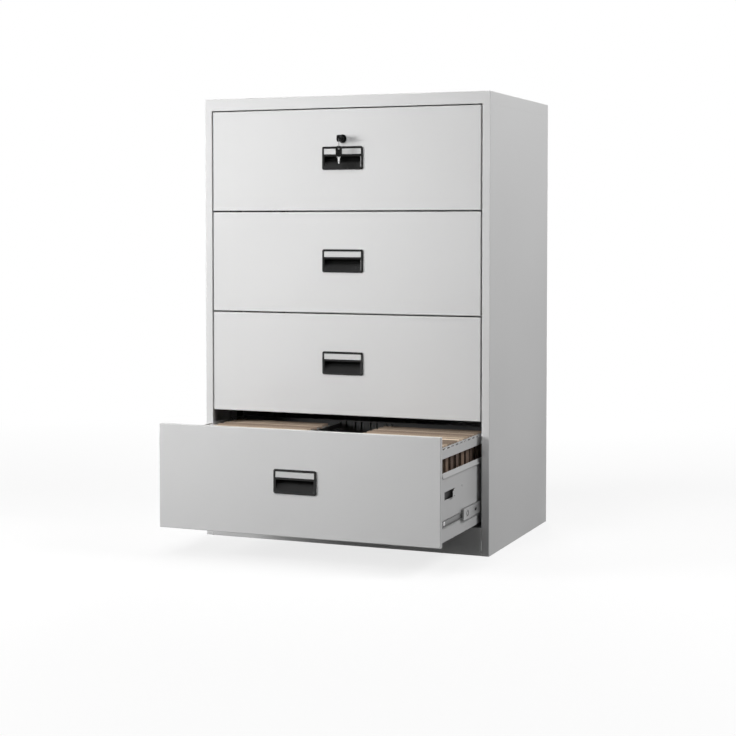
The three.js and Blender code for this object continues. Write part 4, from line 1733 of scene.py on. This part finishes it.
    def end_plate(self) -> Piece:
        """Model the pressed stop and cap at the middle member's front end, with a ring behind them.

        Returns:
            The stop, the ring and the cap in one.
        """
        low, high = self.low, self.high
        plate = Bench.block("plate", (high.x, low.y, low.z + self.plate_inset),
                            (high.x + self.skin, low.y + self.plate_length, high.z - self.plate_inset))
        Bench.round_corners(plate, 0, self.plate_corner, self.corner_steps)
        Bench.soften(plate, self.plate_edge)
        centre = (high.x + self.skin / 2, low.y + self.ring_place, self.middle)
        ring = self.washer(centre, self.ring_radius, self.ring_radius - self.ring_width, self.skin,
                           self.ring_sides)
        Bench.soften(ring, self.ring_edge)
        return Bench.gather([plate, ring, self.end_cap()])

    def hole_shades(self) -> Piece:
        """Model black discs on the middle member's face that paint the shade inside its pressed holes.

        Returns:
            The painted shade of the round hole and of the slot in one.
        """
        low, high = self.low, self.high
        centre = (high.x + self.hole_shade / 2, low.y + self.ring_place, self.middle)
        eye = self.washer(centre, self.ring_radius - self.hole_shade_gap, self.ring_radius - self.hole_shade_eye,
                          self.hole_shade, self.hole_shade_sides)
        front = low.y + self.slot_place
        slot = Bench.block("slot", (high.x, front, self.middle - self.slot_half),
                           (high.x + self.hole_shade, front + self.slot_length, self.middle + self.slot_half))
        Bench.round_corners(slot, 0, self.slot_corner, self.slot_steps)
        return Bench.gather([Bench.soften(hole_shade, self.hole_shade_edge, 1) for hole_shade in (eye, slot)])

    @staticmethod
    def washer(centre: Place, outer: float, inner: float, thickness: float, sides: int) -> Piece:
        """Model a flat ring that lies on the member's face.

        Args:
            centre: Its middle.
            outer: Its outer radius.
            inner: The radius of its hole.
            thickness: Its thickness.
            sides: Faces round it.

        Returns:
            The ring.
        """
        ring = Bench.rod("ring", centre, outer, thickness, Axis.X, sides)
        return Bench.subtract(ring, Bench.rod("eye", centre, inner, 4 * thickness, Axis.X, sides))

    def clear(self) -> None:
        """Remove the masters once every drawer has its copies."""
        for master in self.masters.values():
            bpy.data.objects.remove(master)


# Lock and keys

@dataclass
class LockSet:
    """Cylinder lock, key, ring and spare key, and the gang lock behind them."""

    finishes: Finishes
    collar_lip: float = 2.6 * MM
    collar_dish: float = 1.0 * MM
    collar_edge: float = 0.9 * MM
    collar_steps: int = 4
    collar_sides: int = 64
    tube_radius: float = 9 * MM
    tube_bore: float = 6.3 * MM
    cut_margin: float = 2 * MM
    plug_radius: float = 6 * MM
    plug_gap: float = 0.3 * MM
    plug_edge: float = 0.5 * MM
    plug_steps: int = 3
    shank_half: float = 3 * MM
    shank_overlap: float = 1 * MM
    keyway_half: float = 1.3 * MM
    keyway_rise: float = 4.3 * MM
    keyway_depth: float = 24 * MM
    bow_corner: float = 7 * MM
    bow_corner_steps: int = 8
    bow_edge: float = 0.5 * MM
    bow_steps: int = 3
    bow_swell: float = 3.2 * MM
    thumb_inset: float = 2.2 * MM
    thumb_dip: float = 0.5 * MM
    key_bow: float = 24 * MM
    spare_bow: float = 31 * MM
    hole_radius: float = 3.5 * MM
    spare_hole_radius: float = 4.2 * MM
    hole_inset: float = 6 * MM
    hole_sides: int = 32
    drill_length: float = 12 * MM
    blade_thickness: float = 2 * MM
    blade_height: float = 8 * MM
    blade_overlap: float = 2 * MM
    blade_edge: float = 0.15 * MM
    blade_tip: float = 0.45
    bitting: tuple[float, ...] = (0.55, 1.0, 0.775, 0.55)
    bitting_lead: float = 0.3
    bitting_tail: float = 0.5
    tooth: float = 1.6 * MM
    tooth_sides: int = 4
    key_shank: float = 10 * MM
    spare_tip: float = 5 * MM
    spare_shank: float = 3 * MM
    spare_cut_line: float = 0.8
    shoulder_reach: float = 1.6 * MM
    shoulder_drop: float = 2.4 * MM
    shoulder_rise: float = 1 * MM
    ring_radius: float = 12.8 * MM
    ring_wire: float = 0.65 * MM
    ring_yaw: float = math.radians(112)
    ring_segments: int = 64
    wire_segments: int = 12
    groove_share: float = 0.12
    groove_depth: float = 0.25
    ring_smooth: float = 60.0
    hang: float = 2.4 * MM
    ribs: int = 3
    rib_pitch: float = 4.2 * MM
    rib_start: float = 5 * MM
    rib_half: float = 5 * MM
    rib_rise: float = 0.1 * MM
    rib_root: float = 0.8 * MM
    rib_height: float = 1.4 * MM
    rib_edge: float = 0.35 * MM

    def build(self) -> None:
        """Model the shown pieces and paint the ones behind the front."""
        self.barrel()
        self.plug()
        self.key()
        self.ring()
        self.spare_key()
        paint_nodes(self.finishes.zinc, "lock_cam", "lock_lever", "lock_bar")

    def barrel(self) -> None:
        """Turn the barrel with a dished collar."""
        low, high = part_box("lock_barrel")
        axis = (low + high) / 2
        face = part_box(f"drawer_{LOCKED_DRAWER}_front")[0].y - TRIM_GAP
        collar = Bench.rod("lock_collar", (0, (low.y + face) / 2, axis.z), (high.x - low.x) / 2,
                           face - low.y, Axis.Y, self.collar_sides)
        Bench.soften(collar, self.collar_edge, self.collar_steps)
        with Bench.editing(collar, facing(0, -1, 0)):
            bpy.ops.mesh.inset(thickness=self.collar_lip)
            Bench.extrude(0, self.collar_dish, 0)
        tube = Bench.rod("tube", (0, (face + high.y) / 2, axis.z), self.tube_radius, high.y - face, Axis.Y)
        bore = Bench.rod("bore", (0, axis.y, axis.z), self.tube_bore,
                         high.y - low.y + 2 * self.cut_margin, Axis.Y)
        Bench.weld(collar, tube)
        Bench.subtract(collar, bore)
        Bench.smooth(collar)
        dress(collar, self.finishes.jet, Slot.PLASTIC, "drawer_1", "lock_barrel")

    def plug(self) -> None:
        """Turn the plug, cut its keyway and leave the shank for the cam."""
        low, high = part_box("lock_plug")
        z = (low.z + high.z) / 2
        front, rear = low.y + self.collar_dish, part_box("lock_barrel")[1].y + self.plug_gap
        plug = Bench.rod("lock_plug_turned", (0, (front + rear) / 2, z), self.plug_radius, rear - front,
                         Axis.Y)
        Bench.soften(plug, self.plug_edge, self.plug_steps)
        shank = Bench.block("shank", (-self.shank_half, rear - self.shank_overlap, z - self.shank_half),
                            (self.shank_half, high.y, z + self.shank_half))
        keyway = Bench.block("keyway", (-self.keyway_half, front - self.cut_margin, z - self.keyway_rise),
                             (self.keyway_half, front + self.keyway_depth, z + self.keyway_rise))
        Bench.weld(plug, shank)
        Bench.subtract(plug, keyway)
        Bench.smooth(plug)
        dress(plug, self.finishes.blackened, Slot.CHROME, "lock", "lock_plug")

    def bow(self, name: str, low: Vector, high: Vector, thin: Axis, hole: Place,
            radius: float) -> Piece:
        """Mould a rounded key bow with its ring hole and a thumb recess on both faces.

        Args:
            name: The piece's name.
            low: Lowest corner.
            high: Highest corner.
            thin: The axis across its thickness.
            hole: Centre of the ring hole.
            radius: Radius of the ring hole.

        Returns:
            The bow.
        """
        across = 0 if thin is Axis.X else 1
        bow = Bench.block(name, low, high)
        Bench.round_corners(bow, across, self.bow_corner, self.bow_corner_steps)
        for sign in (-1, 1):
            way = Vector((0, 0, 0))
            way[across] = sign
            with Bench.editing(bow, facing(*way)):
                bpy.ops.mesh.inset(thickness=self.thumb_inset)
                bpy.ops.transform.translate(value=-self.thumb_dip * way)
        Bench.soften(bow, self.bow_edge, self.bow_steps)
        Bench.subtract(bow, Bench.rod("bore", hole, radius, self.drill_length, thin, self.hole_sides))
        return Bench.smooth(bow)

    def key(self) -> None:
        """Model the key that stands in the lock: moulded bow and flat blade."""
        low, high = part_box("key")
        middle = (low.z + high.z) / 2
        rear = low.y + self.key_bow
        swell = Vector((self.bow_swell, 0, 0))
        bow = self.bow("key_bow", low - swell, Vector((high.x, rear, high.z)) + swell, Axis.X,
                       (0, low.y + self.hole_inset, middle), self.hole_radius)
        dress(bow, self.finishes.jet, Slot.PLASTIC, "lock", "key")
        half, thick = self.blade_height / 2, self.blade_thickness / 2
        blade = Bench.block("key_blade", (-thick, rear - self.blade_overlap, middle - half),
                            (thick, high.y, middle + half))
        places = self.notches(rear + self.key_shank, high.y)
        self.bit(blade, Axis.X, [(0, y, middle + half) for y in places])
        dress(blade, self.finishes.nickel, Slot.CHROME, "lock")

    def notches(self, start: float, end: float) -> list[float]:
        """Places of the bitting's notches between two ends of a blade."""
        pitch = (end - start) / (len(self.bitting) + self.bitting_tail)
        return [start + (i + self.bitting_lead) * pitch for i in range(len(self.bitting))]

    def bit(self, blade: Piece, thin: Axis, places: Sequence[Place]) -> None:
        """Cut the bitting into one edge of a blade and break its edges.

        Args:
            blade: The flat blade.
            thin: The axis across its thickness.
            places: Where its notches lie.
        """
        for place, depth in zip(places, self.bitting):
            notch = Bench.rod("notch", place, depth * self.tooth, self.drill_length, thin,
                              self.tooth_sides)
            Bench.subtract(blade, notch)
        Bench.soften(blade, self.blade_edge)

    def ring(self) -> None:
        """Wind the split ring as two close turns."""
        low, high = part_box("key_ring")
        centre = (low + high) / 2
        ring = Bench.start("split_ring", bpy.ops.mesh.primitive_torus_add, location=centre,
                           rotation=(math.pi / 2, 0, self.ring_yaw), major_radius=self.ring_radius,
                           minor_radius=self.ring_wire, major_segments=self.ring_segments,
                           minor_segments=self.wire_segments)
        across = Vector((-math.sin(self.ring_yaw), math.cos(self.ring_yaw), 0))
        for vertex in ring.data.vertices:
            out = vertex.co - centre
            if abs(out.dot(across)) < self.groove_share * self.ring_wire:
                vertex.co -= out.normalized() * self.groove_depth * self.ring_wire
        Bench.smooth(ring, self.ring_smooth)
        dress(ring, self.finishes.rail, Slot.CHROME, "lock", "key_ring")

    def spare_key(self) -> None:
        """Model the spare key that hangs from the ring: bow, shoulder and blade."""
        drop = Vector((0, 0, self.hang))
        low, high = (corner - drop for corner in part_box("spare_key"))
        foot = high.z - self.spare_bow
        middle = (low.y + high.y) / 2
        bow = self.bow("spare_key_bow", Vector((low.x, low.y, foot)), high, Axis.Y,
                       (0, middle, high.z - self.hole_inset), self.spare_hole_radius)
        bow = Bench.gather([bow, *self.grip_ribs(low.y, foot)])
        dress(bow, self.finishes.jet, Slot.PLASTIC, "spare_key", "spare_key")
        half, thick = self.blade_height / 2, self.blade_thickness / 2
        blade = Bench.block("spare_key_blade", (-half, middle - thick, low.z),
                            (half, middle + thick, foot + self.blade_overlap))
        with Bench.editing(blade, facing(0, 0, -1)):
            bpy.ops.transform.resize(value=(self.blade_tip, 1, 1), center_override=(0, middle, low.z))
        heights = self.notches(low.z + self.spare_tip, foot - self.spare_shank)
        self.bit(blade, Axis.Y, [(half * self.spare_cut_line, middle, z) for z in heights])
        reach = half + self.shoulder_reach
        shoulder = Bench.block("shoulder", (-reach, middle - thick, foot - self.shoulder_drop),
                               (reach, middle + thick, foot + self.shoulder_rise))
        blade = Bench.gather([blade, Bench.soften(shoulder)])
        dress(blade, self.finishes.nickel, Slot.CHROME, "spare_key")

    def grip_ribs(self, face: float, foot: float) -> list[Piece]:
        """Model raised grip ribs across the front of the spare key's bow.

        Args:
            face: The bow's front.
            foot: Height of its lower end.

        Returns:
            The ribs.
        """
        z = foot + self.rib_start
        rib = Bench.block("rib", (-self.rib_half, face - self.rib_rise, z),
                          (self.rib_half, face + self.rib_root, z + self.rib_height))
        Bench.soften(rib, self.rib_edge)
        return Bench.spread(rib, [(0, 0, i * self.rib_pitch) for i in range(self.ribs)])


# Contents of the open drawer

@dataclass
class FolderRow:
    """One row of hanging folders with their hook bars and papers."""

    side: Side
    finishes: Finishes
    count: int = 9
    stray: float = 1.2 * MM
    sag: float = 0.4 * MM
    card: float = 0.7 * MM
    mouth: float = 30 * MM
    mouth_range: tuple[float, float] = (0.85, 1.15)
    foot: float = 12 * MM
    foot_rise: float = 30 * MM
    floor_gap: float = 1 * MM
    hem: float = 7 * MM
    hem_flat: float = 2.2
    hem_curl: float = 0.8 * MM
    hem_fold: float = 2.0 * MM
    bar_inset: float = 0.9 * MM
    bar_height: float = 5 * MM
    bar_gauge: float = 1.0 * MM
    bar_gap: float = 0.3 * MM
    bar_taper: float = 0.6
    hook: float = 7 * MM
    ledge: float = 10.5 * MM
    paper_inner: tuple[float, float] = (2 * MM, 6 * MM)
    paper_outer: tuple[float, float] = (3 * MM, 6 * MM)
    paper_fill: tuple[float, float] = (0.7, 0.92)
    paper_drop: tuple[float, float] = (7 * MM, 16 * MM)
    paper_gap: float = 4 * MM
    paper_taper: float = 0.6
    paper_edge: float = 0.5 * MM
    seed: int = 7

    def __post_init__(self) -> None:
        """Read the row's place from the frame."""
        self.low, self.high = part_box(f"hanging_folders_{self.side.word}")

    @property
    def inner_end(self) -> float:
        """End of the cards towards the middle of the drawer."""
        return self.side.value * (min(abs(self.low.x), abs(self.high.x)) + self.hook)

    @property
    def outer_end(self) -> float:
        """End of the cards towards the drawer's side."""
        return self.side.value * (max(abs(self.low.x), abs(self.high.x)) - self.ledge - self.hook)

    def build(self) -> None:
        """Model every folder of the row, its bars and its papers."""
        chance = random.Random(self.seed + self.side.value)
        cards, papers, bar_places = [], [], []
        for i in range(self.count):
            centre = self.low.y + (i + 0.5) * FOLDER_PITCH + chance.uniform(-1, 1) * self.stray
            mouth = self.mouth * chance.uniform(*self.mouth_range)
            top = self.high.z - chance.uniform(0, self.sag)
            cards.append(self.folder(centre, mouth, top))
            reach = mouth / 2 - self.bar_inset
            bar_places += [(0, centre - reach, 0), (0, centre + reach, 0)]
            papers.append(self.papers(centre, mouth, top, chance))
        word = self.side.word
        dress(Bench.gather(cards, f"folders_{word}"), self.finishes.folder, Slot.FOLDER, OPEN_DRAWER,
              f"hanging_folders_{word}")
        bars = Bench.gather(Bench.spread(self.hook_bar(), bar_places), f"folder_bars_{word}")
        dress(bars, self.finishes.zinc, Slot.ZINC, OPEN_DRAWER)
        dress(Bench.gather(papers, f"folder_papers_{word}"), self.finishes.paper, Slot.FOLDER, OPEN_DRAWER)

    def folder(self, centre: float, mouth: float, top: float) -> Piece:
        """Fold one card: hems over both bars, sides that flare, and a flat bottom.

        Args:
            centre: Its middle along the row.
            mouth: How wide it stands open.
            top: Height of its hems.

        Returns:
            The card.
        """
        near, toe = centre - mouth / 2, centre - self.foot / 2
        curl, bottom = self.hem_curl, self.low.z + self.floor_gap
        half = [
            (near + self.hem_fold, top - self.hem), (near + 2 * curl, top - curl), (near + curl, top),
            (near, top - curl), (near, top - self.hem_flat * self.hem),
            (toe, bottom + self.foot_rise), (toe, bottom),
        ]
        section = half + [(2 * centre - y, z) for y, z in reversed(half)]
        moves = [(0.0, b[0] - a[0], b[1] - a[1]) for a, b in zip(section, section[1:])]
        left, right = sorted((self.inner_end, self.outer_end))
        card = Bench.strip("card", (left, *section[0]), (right, *section[0]), moves)
        Bench.thicken(card, self.card)
        return Bench.smooth(card, Bench.DOMED)

    def hook_bar(self) -> Piece:
        """Model a flat bar whose ends hook over the rail and the ledge.

        Returns:
            The bar, at the middle of the cabinet's depth.
        """
        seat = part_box(f"{OPEN_DRAWER}_file_frame")[1].z + self.bar_gap
        bar = Bench.block("bar", (self.low.x, -self.bar_gauge / 2, seat),
                          (self.high.x, self.bar_gauge / 2, seat + self.bar_height))
        with Bench.editing(bar, lambda face: abs(face.normal.x) > ALIGNED):
            bpy.ops.transform.resize(value=(1, 1, self.bar_taper), center_override=(0, 0, seat))
        return bar

    def papers(self, centre: float, mouth: float, top: float, chance: random.Random) -> Piece:
        """Model a sheaf of papers that stands in a folder, a little uneven.

        Args:
            centre: The folder's middle along the row.
            mouth: How wide the folder stands open.
            top: Height of its hems.
            chance: The row's random draws.

        Returns:
            The sheaf.
        """
        inner = self.inner_end + self.side.value * chance.uniform(*self.paper_inner)
        outer = self.outer_end + self.side.value * chance.uniform(*self.paper_outer)
        left, right = sorted((inner, outer))
        thick = chance.uniform(*self.paper_fill) * mouth
        head = top - chance.uniform(*self.paper_drop)
        bottom = self.low.z + self.paper_gap
        sheaf = Bench.block("papers", (left, centre - thick / 2, bottom),
                            (right, centre + thick / 2, head))
        with Bench.editing(sheaf, facing(0, 0, -1)):
            bpy.ops.transform.resize(value=(1, self.paper_taper, 1), center_override=(0, centre, bottom))
        Bench.modify(sheaf, "BEVEL", width=self.paper_edge, segments=1)
        return sheaf


# Studio

@dataclass(frozen=True)
class Lamp:
    """A soft disc lamp: place and target in metres, width, power in watts, and spread in degrees."""

    name: str
    place: tuple[float, float, float]
    target: tuple[float, float, float]
    size: float
    power: float
    spread: float = 180.0

    def hang(self) -> None:
        """Hang the lamp so that it points at its target."""
        data = bpy.data.lights.new(self.name, "AREA")
        data.energy = self.power
        data.shape = "DISK"
        data.size = self.size
        data.spread = math.radians(self.spread)
        holder = bpy.data.objects.new(self.name, data)
        holder.location = self.place
        way = Vector(self.target) - Vector(self.place)
        holder.rotation_euler = way.to_track_quat("-Z", "Y").to_euler()
        bpy.context.scene.collection.objects.link(holder)


@dataclass
class Studio:
    """Camera, lamps, floor and world."""

    front: float = field(default_factory=lambda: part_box("side_panel_left")[0].y)
    camera_place: tuple[float, float, float] = (1838.74 * MM, -4380.11 * MM, 945.26 * MM)
    camera_yaw: float = math.radians(21.882)
    camera_pitch: float = math.radians(2.479)
    lens: float = 79.453
    sensor: float = 36.0
    shift_y: float = -0.10
    sight: float = 100.0
    ambient: float = 0.05
    floor_glow: float = 0.77
    floor_shown: float = 0.53
    floor_hidden: float = 0.3
    floor_size: float = 60.0
    floor_fade: tuple[float, float] = (1.5, 3.2)
    hall: float = 0.15
    hall_edge: tuple[float, float] = (-0.7, -0.1)
    lamps: tuple[Lamp, ...] = (
        Lamp("key_lamp", (-4.2, -3.4, 1.6), (0.0, 0.0, 0.7), 2.2, 225.0),
        Lamp("left_lamp", (-3.0, -1.6, 1.2), (0.0, 0.0, 0.8), 1.2, 23.0),
        Lamp("front_lamp", (-0.3, -2.4, 2.0), (-0.05, -0.27, 0.85), 1.0, 2.5, 55.0),
        Lamp("far_overhead_lamp", (0.0, -2.6, 5.5), (0.0, 0.0, 0.6), 2.6, 66.0),
        Lamp("right_lamp", (2.9, 0.0, 2.7), (0.45, 0.1, 0.9), 1.5, 68.0),
        Lamp("back_lamp", (-1.2, 4.4, 0.9), (0.0, 0.3, 0.7), 1.4, 110.0),
    )

    def build(self) -> None:
        """Set the camera, the lamps, the floor and the world."""
        self.camera()
        for lamp in self.lamps:
            lamp.hang()
        self.floor()
        self.world()
        bpy.context.scene.view_settings.view_transform = "Standard"

    def camera(self) -> None:
        """Place the camera at the photograph's viewing angle."""
        data = bpy.data.cameras.new("camera")
        data.lens = self.lens
        data.sensor_width = self.sensor
        data.shift_y = self.shift_y
        data.clip_end = self.sight
        eye = bpy.data.objects.new("camera", data)
        x, y, z = self.camera_place
        eye.location = (x, y + self.front, z)
        eye.rotation_euler = (math.pi / 2 - self.camera_pitch, 0.0, self.camera_yaw)
        bpy.context.scene.collection.objects.link(eye)
        bpy.context.scene.camera = eye

    @staticmethod
    def rays(wires: Wiring) -> tuple[Socket, Socket]:
        """Tell the rays that show the backdrop from those that only light.

        Args:
            wires: The backdrop's nodes.

        Returns:
            Rays seen directly or through glass, and those with reflections added.
        """
        path = wires.add("LightPath").outputs
        direct = wires.math("MAXIMUM", path["Is Camera Ray"], path["Is Transmission Ray"])
        return direct, wires.math("MAXIMUM", direct, path["Is Glossy Ray"])

    def floor(self) -> None:
        """Lay a pale floor that keeps the shadow and shows white to the camera."""
        ground = Bench.start("studio_floor", bpy.ops.mesh.primitive_plane_add, size=self.floor_size)
        wires = Surface("studio_floor")
        wires.tree.nodes.remove(wires.shader)
        _, seen = self.rays(wires)
        glow = wires.add("Emission", {"Color": WHITE, "Strength": self.floor_glow})
        lit = wires.add("BsdfDiffuse", {"Color": grey(self.floor_shown)})
        near = wires.add("AddShader", {0: glow.outputs[0], 1: lit.outputs[0]})
        away = wires.add("VectorMath", {0: wires.place()}, operation="LENGTH").outputs["Value"]
        far = wires.add("Emission", {"Color": WHITE, "Strength": 1.0})
        shown = wires.add("MixShader", {0: wires.ramp(away, *self.floor_fade), 1: near.outputs[0],
                                        2: far.outputs[0]})
        hidden = wires.add("BsdfDiffuse", {"Color": grey(self.floor_hidden)})
        both = wires.add("MixShader", {0: seen, 1: hidden.outputs[0], 2: shown.outputs[0]})
        wires.put(wires.tree.nodes["Material Output"].inputs["Surface"], both.outputs[0])
        paint(ground, wires.material)

    def world(self) -> None:
        """Fill the room with soft light and show it white, but dim in front in reflections."""
        world = bpy.data.worlds.new("studio")
        bpy.context.scene.world = world
        world.use_nodes = True
        wires = Wiring(world.node_tree)
        direct, seen = self.rays(wires)
        ahead = wires.part_of(wires.add("TexCoord").outputs["Generated"], "Y")
        level = wires.math("MAXIMUM", direct, wires.ramp(ahead, *self.hall_edge, self.hall, 1.0))
        soft = wires.tree.nodes["Background"]
        wires.put(soft.inputs["Color"], WHITE)
        wires.put(soft.inputs["Strength"], self.ambient)
        white = wires.add("Background", {"Color": WHITE, "Strength": level})
        both = wires.add("MixShader", {0: seen, 1: soft.outputs[0], 2: white.outputs[0]})
        wires.put(wires.tree.nodes["World Output"].inputs["Surface"], both.outputs[0])


def main() -> None:
    """Build the studio, then the cabinet's pieces in order."""
    logging.basicConfig(level=logging.INFO, format="%(name)s: %(message)s")
    Studio().build()
    finishes = Finishes()
    Carcass(finishes).build()
    pull, side = HandlePattern(), SidePattern()
    runner = RunnerPattern(finishes, side)
    patterns = (pull, side, runner)
    for pattern in patterns:
        pattern.build()
    for number in DRAWERS:
        Drawer(number, finishes, pull, side).build()
        runner.fit(number)
    for pattern in patterns:
        pattern.clear()
    LockSet(finishes).build()
    for hand in Side:
        FolderRow(hand, finishes).build()


if __name__ == "__main__":
    main()
